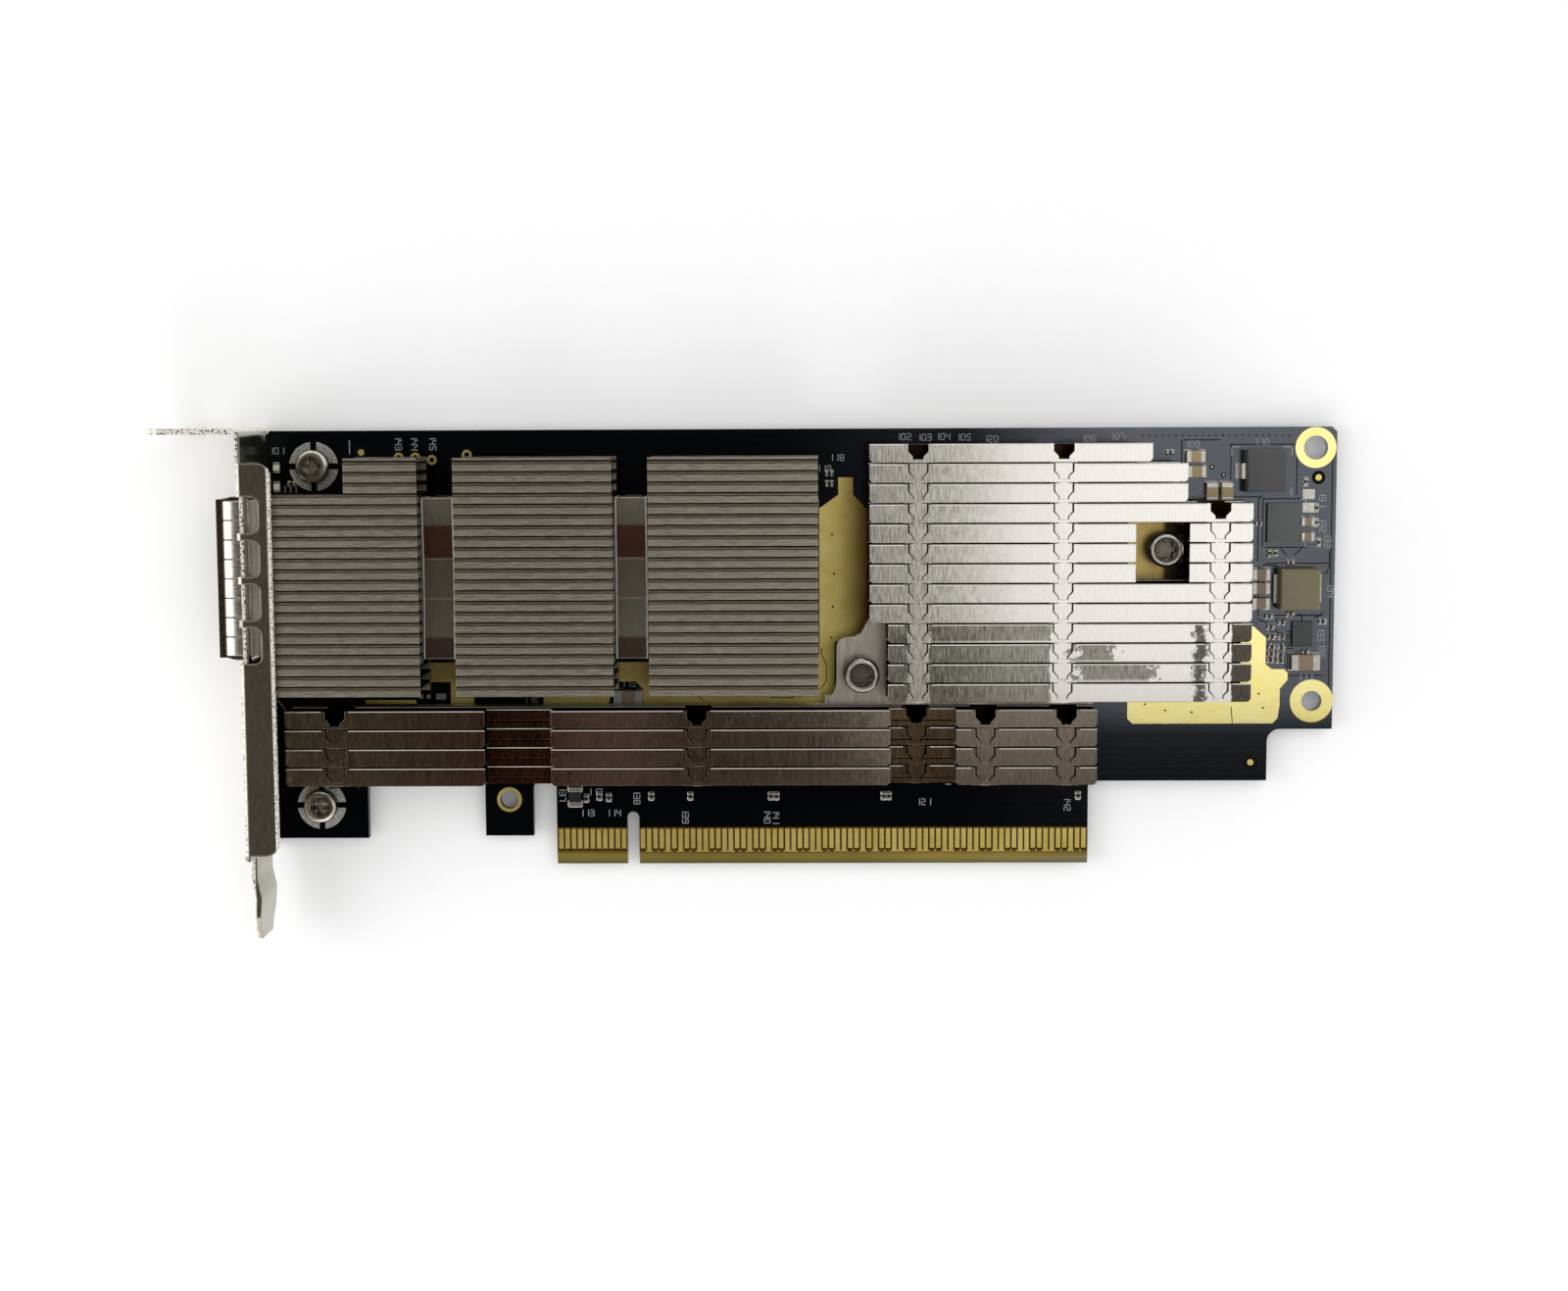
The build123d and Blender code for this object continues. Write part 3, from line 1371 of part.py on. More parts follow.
# Ceramic capacitors and resistors: bodies in one node, their metal ends in another
tan_flat = ((right_edge - 22.15, 64.35), (right_edge - 22.0, 62.0))
tan_upright = ((right_edge - 19.55, 58.8), (right_edge - 17.2, 58.8))
tan_size = (2.9, 1.75)
tan_height = 1.5
brown_flat = tuple((right_edge - 11.7, y) for y in (45.9, 43.75, 41.35))
brown_flat_size = (2.7, 1.7)
brown_square = ((right_edge - 4.5, 54.15), (right_edge - 4.5, 51.8))
brown_square_size = (2.0, 1.25)
brown_square_height = 1.1
bulk_flat = ((right_edge - 4.65, 32.1), (-0.45, 26.8))
bulk_size = (4.4, 2.4)
bulk_height = 1.9

with BuildPart() as tan_capacitors:
    extrude(chip_bodies(tan_flat, *tan_size), amount=tan_height)
    extrude(chip_bodies(tan_upright, *tan_size, turned=True), amount=tan_height)
tan_capacitors.part.label = "tan_capacitors"
export_step(tan_capacitors.part, "parts/tan_capacitors.step")

with BuildPart() as brown_capacitors:
    extrude(chip_bodies(brown_flat, *brown_flat_size), amount=tan_height)
    extrude(chip_bodies(brown_square, *brown_square_size), amount=brown_square_height)
brown_capacitors.part.label = "brown_capacitors"
export_step(brown_capacitors.part, "parts/brown_capacitors.step")

with BuildPart() as bulk_capacitors:
    extrude(chip_bodies(bulk_flat, *bulk_size), amount=bulk_height)
bulk_capacitors.part.label = "bulk_capacitors"
export_step(bulk_capacitors.part, "parts/bulk_capacitors.step")

with BuildPart() as capacitor_ends:
    extrude(chip_caps(tan_flat, *tan_size), amount=tan_height)
    extrude(chip_caps(tan_upright, *tan_size, turned=True), amount=tan_height)
    extrude(chip_caps(brown_flat, *brown_flat_size), amount=tan_height)
    extrude(chip_caps(brown_square, *brown_square_size), amount=brown_square_height)
    extrude(chip_caps(bulk_flat, *bulk_size), amount=bulk_height)
capacitor_ends.part.label = "capacitor_ends"
export_step(capacitor_ends.part, "parts/capacitor_ends.step")

resistor_size = (1.0, 0.5)
resistor_height = 0.35
small_flat = [
    (right_edge - x, y) for x, y in (
        (9.9, 37.6), (8.15, 38.3), (9.7, 36.05), (8.15, 36.05), (9.7, 34.4), (8.2, 34.3),
        (9.8, 33.3), (8.3, 33.2), (8.3, 32.25), (9.9, 32.35), (10.2, 39.3),
        (4.45, 33.6), (6.9, 39.6), (1.8, 38.4), (26.0, 65.0), (12.0, 53.9), (7.0, 47.7),
    )
]
small_flat += [(x, 60.6) for x in (left_edge + 4.0, left_edge + 22.9)]
small_flat += [(cage_back + 1.6, y) for y in (60.4, 62.0)]
small_upright = [
    (right_edge - x, y) for x, y in (
        (4.85, 60.35), (9.4, 49.2), (10.3, 49.2), (3.1, 54.0), (2.7, 50.9), (3.1, 56.3),
    )
]
small_upright += [(x, 10.9) for x in (-5.35, 2.9, 9.1, 21.9, 22.8, 39.8, 40.6, 70.6)]
small_upright += [(-7.45, 10.6), (-3.85, 10.7)]

with BuildPart() as resistors:
    extrude(chip_bodies(small_flat, *resistor_size), amount=resistor_height)
    extrude(chip_bodies(small_upright, *resistor_size, turned=True), amount=resistor_height)
resistors.part.label = "resistors"
export_step(resistors.part, "parts/resistors.step")

with BuildPart() as resistor_ends:
    extrude(chip_caps(small_flat, *resistor_size), amount=resistor_height)
    extrude(chip_caps(small_upright, *resistor_size, turned=True), amount=resistor_height)
resistor_ends.part.label = "resistor_ends"
export_step(resistor_ends.part, "parts/resistor_ends.step")

fuse_place = [(-9.2, 10.9)]
fuse_size = (3.1, 1.9)
fuse_height = 0.7
with BuildPart() as input_fuse:
    extrude(chip_bodies(fuse_place, *fuse_size, turned=True), amount=fuse_height)
input_fuse.part.label = "input_fuse"
export_step(input_fuse.part, "parts/input_fuse.step")

with BuildPart() as input_fuse_ends:
    extrude(chip_caps(fuse_place, *fuse_size, turned=True), amount=fuse_height)
input_fuse_ends.part.label = "input_fuse_ends"
export_step(input_fuse_ends.part, "parts/input_fuse_ends.step")

led_places = [(left_edge + 1.75, 63.2), (left_edge + 1.75, 60.2)]
led_size = (1.7, 0.95)
led_height = 0.6
led_end_height = 0.35
with BuildPart() as status_leds:
    extrude(chip_bodies(led_places, *led_size, turned=True), amount=led_height)
status_leds.part.label = "status_leds"
export_step(status_leds.part, "parts/status_leds.step")

with BuildPart() as status_led_ends:
    extrude(chip_caps(led_places, *led_size, turned=True), amount=led_end_height)
status_led_ends.part.label = "status_led_ends"
export_step(status_led_ends.part, "parts/status_led_ends.step")
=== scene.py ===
# %% [markdown]
# # A low-profile network adapter card
#
# The card lies on its back and the camera looks straight down on it. All the pieces with
# a real size come from the CAD model. This file gives them their finishes, adds the printed
# marks, the solder and the small plated holes that are too thin for CAD, and sets up the
# studio. Everything is in metres: X runs along the card away from the bracket, Y up to the
# long top edge, Z out of the component face.

# %% Load the CAD model
import bpy
import numpy as np
from math import radians
from mathutils import Matrix, Vector


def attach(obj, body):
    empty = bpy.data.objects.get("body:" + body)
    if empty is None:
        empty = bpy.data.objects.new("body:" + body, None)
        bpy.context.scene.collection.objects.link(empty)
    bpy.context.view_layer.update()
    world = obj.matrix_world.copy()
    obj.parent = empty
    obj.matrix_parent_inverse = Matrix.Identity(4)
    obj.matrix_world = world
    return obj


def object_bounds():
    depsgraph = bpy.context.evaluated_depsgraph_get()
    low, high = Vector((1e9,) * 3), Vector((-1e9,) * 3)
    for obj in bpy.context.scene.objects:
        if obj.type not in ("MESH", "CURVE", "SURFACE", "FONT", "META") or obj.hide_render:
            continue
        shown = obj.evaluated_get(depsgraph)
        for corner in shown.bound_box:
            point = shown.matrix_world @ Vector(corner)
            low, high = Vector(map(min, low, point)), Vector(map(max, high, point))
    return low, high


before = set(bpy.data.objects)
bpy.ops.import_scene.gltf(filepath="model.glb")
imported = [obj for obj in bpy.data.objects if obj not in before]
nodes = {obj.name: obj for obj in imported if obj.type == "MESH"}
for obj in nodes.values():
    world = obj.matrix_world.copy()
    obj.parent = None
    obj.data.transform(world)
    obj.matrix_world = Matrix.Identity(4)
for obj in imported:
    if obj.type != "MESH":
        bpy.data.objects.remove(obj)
cad_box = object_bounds()
MM = 0.001
print("CAD pieces:", len(nodes))
print("CAD box:", [[round(c / MM, 2) for c in corner] for corner in cad_box])

# %% [markdown]
# Colours are written as the hex values that a screen shows. Blender computes with linear
# light, so one function converts them. One more function adds a node, sets its values and
# joins its inputs, and every material below is made with it.

# %% Helpers for colours and nodes
UPRIGHT_NORMAL_Z = 0.5  # a face counts as upright where its normal has less Z than this


def linear(hex_code):
    """sRGB hex to linear: c/12.92 below 0.04045, else ((c + 0.055) / 1.055) to the 2.4."""
    c = np.array([int(hex_code[i:i + 2], 16) for i in (1, 3, 5)]) / 255
    c = np.where(c <= 0.04045, c / 12.92, ((c + 0.055) / 1.055) ** 2.4)
    return (*[float(v) for v in c], 1.0)


def add(tree, kind, links=None, values=None, **settings):
    """Adds one node: settings are its properties, values fill its inputs, links join them."""
    node = tree.nodes.new(kind)
    for key, value in settings.items():
        setattr(node, key, value)
    for key, value in (values or {}).items():
        node.inputs[key].default_value = value
    for key, socket in (links or {}).items():
        tree.links.new(socket, node.inputs[key])
    return node


def calculate(tree, operation, first, second=None, constant=None):
    """One Math node: first and second are sockets, constant fills the second input."""
    links = {0: first} if second is None else {0: first, 1: second}
    values = {} if constant is None else {1: constant}
    return add(tree, "ShaderNodeMath", links, values, operation=operation).outputs[0]


def mix(tree, factor, first, second, blend="MIX"):
    """One colour Mix node: first and second are sockets, hex colours or linear colours."""
    node = add(tree, "ShaderNodeMix", data_type="RGBA", blend_type=blend)
    for key, value in (("Factor", factor), ("A", first), ("B", second)):
        if isinstance(value, str):
            node.inputs[key].default_value = linear(value)
        elif isinstance(value, (float, tuple)):
            node.inputs[key].default_value = value
        else:
            tree.links.new(value, node.inputs[key])
    return node.outputs["Result"]


def ramp(tree, value, stops):
    """A colour that changes with a value: stops are pairs of the value and a hex colour."""
    low, high = stops[0][0], stops[-1][0]
    share = add(tree, "ShaderNodeMapRange", {"Value": value}, {"From Min": low, "From Max": high})
    node = add(tree, "ShaderNodeValToRGB", {"Fac": share.outputs[0]})
    elements = node.color_ramp.elements
    elements[0].color, elements[1].color = linear(stops[0][1]), linear(stops[-1][1])
    for at, hex_code in stops[1:-1]:
        elements.new((at - low) / (high - low)).color = linear(hex_code)
    return node.outputs["Color"]


def axis_mm(tree, place, axis):
    """The place along one axis, in millimetres."""
    split = add(tree, "ShaderNodeSeparateXYZ", {"Vector": place})
    return calculate(tree, "DIVIDE", split.outputs[axis], constant=MM)


def away_mm(tree, place, axis, centre):
    """How far a point is from a plane across one axis, in millimetres."""
    past = calculate(tree, "SUBTRACT", axis_mm(tree, place, axis), constant=centre)
    return calculate(tree, "ABSOLUTE", past)


def phase_of(tree, place, first, pitch):
    """How far a point is into its row, from 0 to 1, where rows repeat along Y."""
    past = calculate(tree, "SUBTRACT", axis_mm(tree, place, "Y"), constant=first)
    return calculate(tree, "FRACT", calculate(tree, "DIVIDE", past, constant=pitch))


def combine(tree, operation, sockets):
    """The highest (MAXIMUM) or lowest (MINIMUM) of several values."""
    result = sockets[0]
    for socket in sockets[1:]:
        result = calculate(tree, operation, result, socket)
    return result


def upright_faces(tree):
    """1 on the faces that stand upright, 0 on all others."""
    normal = add(tree, "ShaderNodeNewGeometry").outputs["True Normal"]
    facing = add(tree, "ShaderNodeSeparateXYZ", {"Vector": normal})
    steep = calculate(tree, "ABSOLUTE", facing.outputs["Z"])
    return calculate(tree, "LESS_THAN", steep, constant=UPRIGHT_NORMAL_Z)


def new_material(name):
    """An empty node material with its output and a Principled shader that reads Object places."""
    material = bpy.data.materials.new(name)
    material.use_nodes = True
    tree = material.node_tree
    tree.nodes.clear()
    output = add(tree, "ShaderNodeOutputMaterial")
    shader = add(tree, "ShaderNodeBsdfPrincipled")
    tree.links.new(shader.outputs["BSDF"], output.inputs["Surface"])
    place = add(tree, "ShaderNodeTexCoord").outputs["Object"]
    return material, tree, shader, place


def dress(node_names, material):
    """Puts one material on the slots of the named CAD pieces."""
    for name in node_names:
        for slot in nodes[name].material_slots:
            slot.material = material
    print(material.name, "on", len(node_names), "pieces")


# %% [markdown]
# Most of the card is metal sheet or moulded plastic. Both have the same two things to show:
# a grain that shifts the colour and the gloss a little, and a fine relief. So one function
# makes the grain, with its size in millimetres, how far it is drawn out along X, Y or Z,
# and the two colours it moves between. Rolled and brushed metal has its grain drawn out
# along the rolling direction, and moulded plastic and ceramic have it even.
#
# Three more things can be added. Zones tint the colour along one axis; most of them are
# painted shade and painted reflection, as in the dark corners of a heatsink. Wall shade
# paints shade on the upright faces, which stand in the narrow gaps between fins. Round
# softens every edge in the light by a radius in millimetres, as a stamped or tumbled edge
# is, so that it catches a thin bright line.

# %% A grained surface
SCUFF_AND_HIGHLIGHT_ROUGH = 0.62  # roughness of scuffed metal, and of painted highlights, so that they gather more light


def grained(name, dark, light, metallic, rough, grain_mm=0.6, stretch=(1, 1, 1),
            relief=0.02, spread=0.08, contrast=(0.3, 0.7), zones=(), wall_shade=None, round_mm=0.0):
    """Colour moves from dark to light with the grain, roughness by spread, height by relief mm."""
    material, tree, shader, place = new_material(name)
    scale = [1 / (grain_mm * MM * s) for s in stretch]
    grain_place = add(tree, "ShaderNodeMapping", {"Vector": place}, {"Scale": scale})
    grain = add(tree, "ShaderNodeTexNoise", {"Vector": grain_place.outputs[0]},
                {"Scale": 1.0, "Detail": 4.0, "Roughness": 0.6})
    tone = add(tree, "ShaderNodeMapRange", {"Value": grain.outputs["Fac"]},
               {"From Min": contrast[0], "From Max": contrast[1]})
    colour = mix(tree, tone.outputs[0], dark, light)
    for axis, stops in zones:
        tint = ramp(tree, axis_mm(tree, place, axis), stops)
        colour = mix(tree, 1.0, colour, tint, "MULTIPLY")
    # painted shade: the upright faces in the gaps take a dark colour
    if wall_shade:
        colour = mix(tree, upright_faces(tree), colour, wall_shade)
    gloss = add(tree, "ShaderNodeMapRange", {"Value": grain.outputs["Fac"]},
                {"To Min": rough - spread, "To Max": rough + spread})
    height = add(tree, "ShaderNodeBump", {"Height": grain.outputs["Fac"]},
                 {"Strength": 1.0, "Distance": relief * MM})
    if round_mm:
        soft = add(tree, "ShaderNodeBevel", values={"Radius": round_mm * MM})
        tree.links.new(soft.outputs[0], height.inputs["Normal"])
    tree.links.new(colour, shader.inputs["Base Color"])
    tree.links.new(gloss.outputs[0], shader.inputs["Roughness"])
    tree.links.new(height.outputs[0], shader.inputs["Normal"])
    shader.inputs["Metallic"].default_value = metallic
    return material


def parts_of(material):
    """The tree, the shader and the place socket of a grained material, to build on."""
    tree = material.node_tree
    shader = next(n for n in tree.nodes if n.type == "BSDF_PRINCIPLED")
    place = next(n for n in tree.nodes if n.type == "TEX_COORD").outputs["Object"]
    return tree, shader, place


def tint_with(material, colour):
    """Multiplies the colour of a grained material by another."""
    tree, shader, _ = parts_of(material)
    plain = shader.inputs["Base Color"].links[0].from_socket
    tree.links.new(mix(tree, 1.0, plain, colour, "MULTIPLY"), shader.inputs["Base Color"])


def roughen(material, mask, rough):
    """Where the mask is 1 the surface takes this roughness: it gathers more light."""
    tree, shader, _ = parts_of(material)
    polish = shader.inputs["Roughness"].links[0].from_socket
    dull = add(tree, "ShaderNodeMix", {"Factor": mask, 2: polish}, {3: rough})
    tree.links.new(dull.outputs[0], shader.inputs["Roughness"])


def scuff_and_highlight(material, mask, hex_code, rough):
    """Where the mask is 1 the surface takes this colour and roughness."""
    tree, shader, _ = parts_of(material)
    plain = shader.inputs["Base Color"].links[0].from_socket
    tree.links.new(mix(tree, mask, plain, hex_code), shader.inputs["Base Color"])
    roughen(material, mask, rough)


def speckled(name, dark, light, scale, detail, rough):
    """A matt surface without relief, whose colour moves between two with a noise."""
    material, tree, shader, place = new_material(name)
    speck = add(tree, "ShaderNodeTexNoise", {"Vector": place}, {"Scale": scale, "Detail": detail})
    tree.links.new(mix(tree, speck.outputs["Fac"], dark, light), shader.inputs["Base Color"])
    shader.inputs["Roughness"].default_value = rough
    return material


# %% [markdown]
# The board is glass laminate under a black glossy solder mask. At the tongue the mask stops,
# and the bare golden-brown laminate shows around and below the contacts. Copper under the
# mask shows as a faint relief of straight tracks. The sawn edges of the board are bare
# laminate. All of this depends on the place on the board, so the shader works from Object
# coordinates: the height along Y picks mask or laminate, and the facing picks the edges.

# %% The board
MASK_END = 5.9  # height along Y where the mask stops on the tongue
FLARE_END = 2.05  # height along Y where the contacts stop
TONGUE_LEFT = -13.0
MASK_IOR = 1.62
SHEEN_X_START, SHEEN_X_FULL = 52.0, 76.0  # along X, the painted sheen of the mask grows
SHEEN_Y_START, SHEEN_Y_FULL = 20.5, 27.0  # and along Y


def board_material():
    """Mask above MASK_END, resin between the contacts, paler laminate below FLARE_END."""
    material, tree, shader, place = new_material("solder_mask_on_laminate")
    along_x, along_y = axis_mm(tree, place, "X"), axis_mm(tree, place, "Y")
    speck = add(tree, "ShaderNodeTexNoise", {"Vector": place},
                {"Scale": 900.0, "Detail": 3.0, "Roughness": 0.65})
    cloud = add(tree, "ShaderNodeTexNoise", {"Vector": place},
                {"Scale": 30.0, "Detail": 2.0, "Roughness": 0.5})
    mask = mix(tree, cloud.outputs["Fac"], "#020304", "#06090b")
    # laminate: a woven golden brown, darker and olive in its lower half
    weave = add(tree, "ShaderNodeTexWave", {"Vector": place},
                {"Scale": 220.0, "Distortion": 1.5, "Detail": 2.0},
                wave_type="BANDS", bands_direction="X")
    resin = mix(tree, weave.outputs["Fac"], "#3a2a0c", "#4e3a14")
    tongue = ramp(tree, along_y, [(0.0, "#4f4c22"), (0.35, "#6d6830"), (0.9, "#857239"),
                                  (1.5, "#8f7a3a"), (2.0, "#6b5424")])
    tongue = mix(tree, 1.0, tongue, ramp(tree, cloud.outputs["Fac"],
                                         [(0.3, "#b8b8b8"), (0.7, "#ffffff")]), "MULTIPLY")
    below = calculate(tree, "LESS_THAN", along_y, constant=FLARE_END)
    bare = mix(tree, below, resin, tongue)
    # the mask ends above the contacts, on the tongue alone
    low = calculate(tree, "LESS_THAN", along_y, constant=MASK_END)
    right = calculate(tree, "GREATER_THAN", along_x, constant=TONGUE_LEFT)
    on_tongue = calculate(tree, "MULTIPLY", low, right)
    face = mix(tree, on_tongue, mask, bare)
    # the upright faces are the sawn edges
    tree.links.new(mix(tree, upright_faces(tree), face, "#3a3422"), shader.inputs["Base Color"])
    gloss = add(tree, "ShaderNodeMapRange", {"Value": speck.outputs["Fac"]},
                {"To Min": 0.1, "To Max": 0.2})
    tree.links.new(gloss.outputs[0], shader.inputs["Roughness"])
    # painted sheen: the mask's gloss grows along X and Y to place the overhead light's reflection
    shader.inputs["IOR"].default_value = MASK_IOR
    sheen_along_x = add(tree, "ShaderNodeMapRange", {"Value": along_x},
                 {"From Min": SHEEN_X_START, "From Max": SHEEN_X_FULL,
                  "To Min": 0.12, "To Max": 1.0})
    sheen_along_y = add(tree, "ShaderNodeMapRange", {"Value": along_y},
                     {"From Min": SHEEN_Y_START, "From Max": SHEEN_Y_FULL,
                      "To Min": 0.25, "To Max": 1.0})
    tree.links.new(calculate(tree, "MULTIPLY", sheen_along_x.outputs[0], sheen_along_y.outputs[0]),
                   shader.inputs["Specular IOR Level"])
    shader.inputs["Specular Tint"].default_value = linear("#e8f2ff")
    # tracks under the mask: straight ridges about a millimetre apart
    flat = add(tree, "ShaderNodeMapping", {"Vector": place}, {"Scale": (1.0, 1.0, 0.0)})
    track = add(tree, "ShaderNodeTexBrick", {"Vector": flat.outputs[0]},
                {"Scale": 1.0, "Mortar Size": 0.00012, "Brick Width": 0.0062,
                 "Row Height": 0.0011})
    relief = add(tree, "ShaderNodeBump", {"Height": track.outputs["Fac"]},
                 {"Strength": 0.25, "Distance": 0.01 * MM})
    fine = add(tree, "ShaderNodeBump", {"Height": speck.outputs["Fac"],
                                        "Normal": relief.outputs[0]},
               {"Strength": 0.4, "Distance": 0.008 * MM})
    tree.links.new(fine.outputs[0], shader.inputs["Normal"])
    return material


dress(["circuit_board"], board_material())

# %% [markdown]
# The contacts, ground areas and rings are copper with a thin skin of gold. The plating
# bath leaves a faint cloudiness, so the colour moves slowly over several millimetres while
# the gloss has a finer grain. Under the cage the gold is painted darker towards the fin
# stack: painted shade. At the corner a paler copy of the gold is painted light.

# %% Gold plating
gold = grained("gold_plating", "#ecd06c", "#fae792", 1.0, 0.4, grain_mm=5.0,
               relief=0.02, spread=0.05)
dress(["front_fingers", "back_fingers", "hook_hole_ring", "test_points", "host_contacts"], gold)
# painted shade: the gold darkens to brown from x = 32.6 to 37.4 mm, next to the fin stack
dress(["cage_ground_plane"],
      grained("gold_plating_shaded", "#f0d672", "#ffee9c", 1.0, 0.44, grain_mm=4.0,
              relief=0.02, spread=0.05,
              zones=[("X", [(-57.0, "#ffffff"), (32.6, "#ffffff"), (37.4, "#8d7440")])]))
# painted light: a paler copy of the gold, where the corner catches the overhead light
dress(["corner_ground_plane", "end_hole_rings"],
      grained("gold_plating_lit_copy", "#faea90", "#fff6b0", 1.0, 0.17, grain_mm=5.0,
              relief=0.01, spread=0.04))
tinned = grained("tinned_copper", "#96968f", "#f4f3ee", 1.0, 0.58, grain_mm=0.3,
                 relief=0.04, spread=0.1)
dress(["screw_rings"], tinned)

# %% [markdown]
# The bracket is steel strip with a bright zinc finish, stamped and folded, with specks of
# painted highlight on its bends. The cage is thinner tinned strip, and the collar around its
# nose is nickel-plated spring strip. The strips are rolled, so their grain is long and fine.
# From where the cage meets the bracket inwards it stands in the dark, and painted shade
# makes it a darker brown-grey there.

# %% Bracket, cage and collar
LIP_LEFT, LIP_RIGHT = -57.75, -53.5  # outside these the bracket is folded, with specks of painted highlight
CAGE_SHADE_START = -54.4
GLINT_SPECKS_ABOVE = 0.44
bracket_zinc = grained("zinc_plated_steel", "#9a988a", "#b4b1a2", 1.0, 0.2, grain_mm=0.3,
                       stretch=(1, 6, 1), relief=0.008, spread=0.05, round_mm=0.4)
tree, _, place = parts_of(bracket_zinc)
along_x = axis_mm(tree, place, "X")
folds = calculate(tree, "MAXIMUM", calculate(tree, "LESS_THAN", along_x, constant=LIP_LEFT),
                  calculate(tree, "GREATER_THAN", along_x, constant=LIP_RIGHT))
glint_specks = add(tree, "ShaderNodeTexNoise", {"Vector": place}, {"Scale": 2600.0, "Detail": 2.0})
glint_specks = calculate(tree, "GREATER_THAN", glint_specks.outputs["Fac"], constant=GLINT_SPECKS_ABOVE)
# near-white rough specks on the folds: scuffed zinc, and a painted highlight along the bends
scuff_and_highlight(bracket_zinc, calculate(tree, "MULTIPLY", folds, glint_specks), "#f6f3ea", SCUFF_AND_HIGHLIGHT_ROUGH)
dress(["bracket"], bracket_zinc)
# painted shade: from x = -54 mm inwards the cage is tinted a darker brown-grey
cage_strip = grained("tinned_steel_strip", "#b5ada0", "#dfd9cd", 1.0, 0.3, grain_mm=0.3,
                     stretch=(10, 1, 1), relief=0.008, round_mm=0.2,
                     zones=[("X", [(-63.0, "#ffffff"), (CAGE_SHADE_START, "#ffffff"),
                                   (-54.0, "#6b5f52"), (30.0, "#857a6c")])])
tree, _, place = parts_of(cage_strip)
scuff_and_highlight(cage_strip, calculate(tree, "LESS_THAN", axis_mm(tree, place, "X"),
                            constant=CAGE_SHADE_START), "#f4f1e8", 0.66)
dress(["cage", "cage_feet"], cage_strip)
dress(["nose_collar"],
      grained("nickel_spring_strip", "#c9c6bd", "#efece4", 1.0, 0.26, grain_mm=0.3,
              stretch=(6, 1, 1), relief=0.004, wall_shade="#5a5048", round_mm=0.1,
              zones=[("X", [(-64.0, "#6e6258"), (-61.3, "#6e6258"), (-61.15, "#ffffff"),
                            (-50.0, "#ffffff")])]))

# %% [markdown]
# The fins on the cage are folded from one aluminium strip. Their flat tops carry the marks
# of the rolls as fine lines along X, warm grey and satin. Each flat ends in a bend, which
# is browner, with a crease before it. The gaps between the fins and the crease are painted
# dark: painted shade. The bends come once every pitch, so the shader counts how far a point
# is into its pitch.

# %% Folded fins
FINS_LOW = 28.398
FIN_PITCH = 1.632


def folded_fins(name):
    """A grained metal whose colour repeats along Y: gap, flat, crease, bend; the dark gap and
    crease are painted shade.
    """
    material = grained(name, "#8e897c", "#c2bcae", 1.0, 0.42, grain_mm=0.16,
                       stretch=(12, 1, 1), relief=0.008, spread=0.08, contrast=(0.25, 0.75),
                       wall_shade="#0e0c0a", round_mm=0.1)
    tree, _, place = parts_of(material)
    bands_with_gap_shade = ramp(tree, phase_of(tree, place, FINS_LOW, FIN_PITCH),
                 [(0.0, "#0c0a09"), (0.105, "#1c1815"), (0.14, "#ffffff"), (0.73, "#f4f2ea"),
                  (0.75, "#1a1613"), (0.79, "#241f1b"), (0.82, "#d0c6ba"), (0.97, "#b4a89c"),
                  (1.0, "#3a332e")])
    tint_with(material, bands_with_gap_shade)
    return material


dress(["fin_block_front", "fin_block_middle", "fin_block_rear"],
      folded_fins("folded_aluminium_fins"))
dress(["cage_saddle"],
      grained("nickel_plated_saddle", "#7d7a70", "#a5a195", 1.0, 0.36, grain_mm=0.4,
              stretch=(12, 1, 1), relief=0.01, wall_shade="#2a2622", round_mm=0.12))

# %% [markdown]
# The fin stack and the strip of the controller's heatsink are stamped sheets with a bright
# nickel finish, brushed across: almost white where they mirror the soft light, and brown-grey
# where they mirror the dark part of the studio. Over the brushing lie patches of painted dark
# reflection: the left end is duller, and the four rows nearest to the strip carry dark grey
# bands that end in ragged edges. A patch is a box in X and Y whose edge a noise frays.
# Painted shade makes the walls in the gaps almost black.

# %% Stamped fins
LOCK_HALF = 2.1  # half the width of the interlocks, where no line shows between rows


def frayed_patch(tree, place, noise, x_span, y_span, soft_mm, fray_mm):
    """1 inside a box in millimetres, 0 outside: a noise frays its two ends along X."""
    past = [calculate(tree, "SUBTRACT", away_mm(tree, place, axis, (low + high) / 2),
                      constant=(high - low) / 2)
            for axis, (low, high) in (("X", x_span), ("Y", y_span))]
    fray = calculate(tree, "MULTIPLY", noise, constant=fray_mm)
    outside = calculate(tree, "MAXIMUM", calculate(tree, "ADD", past[0], fray), past[1])
    return add(tree, "ShaderNodeMapRange", {"Value": outside},
               {"From Min": soft_mm, "From Max": -soft_mm}).outputs[0]


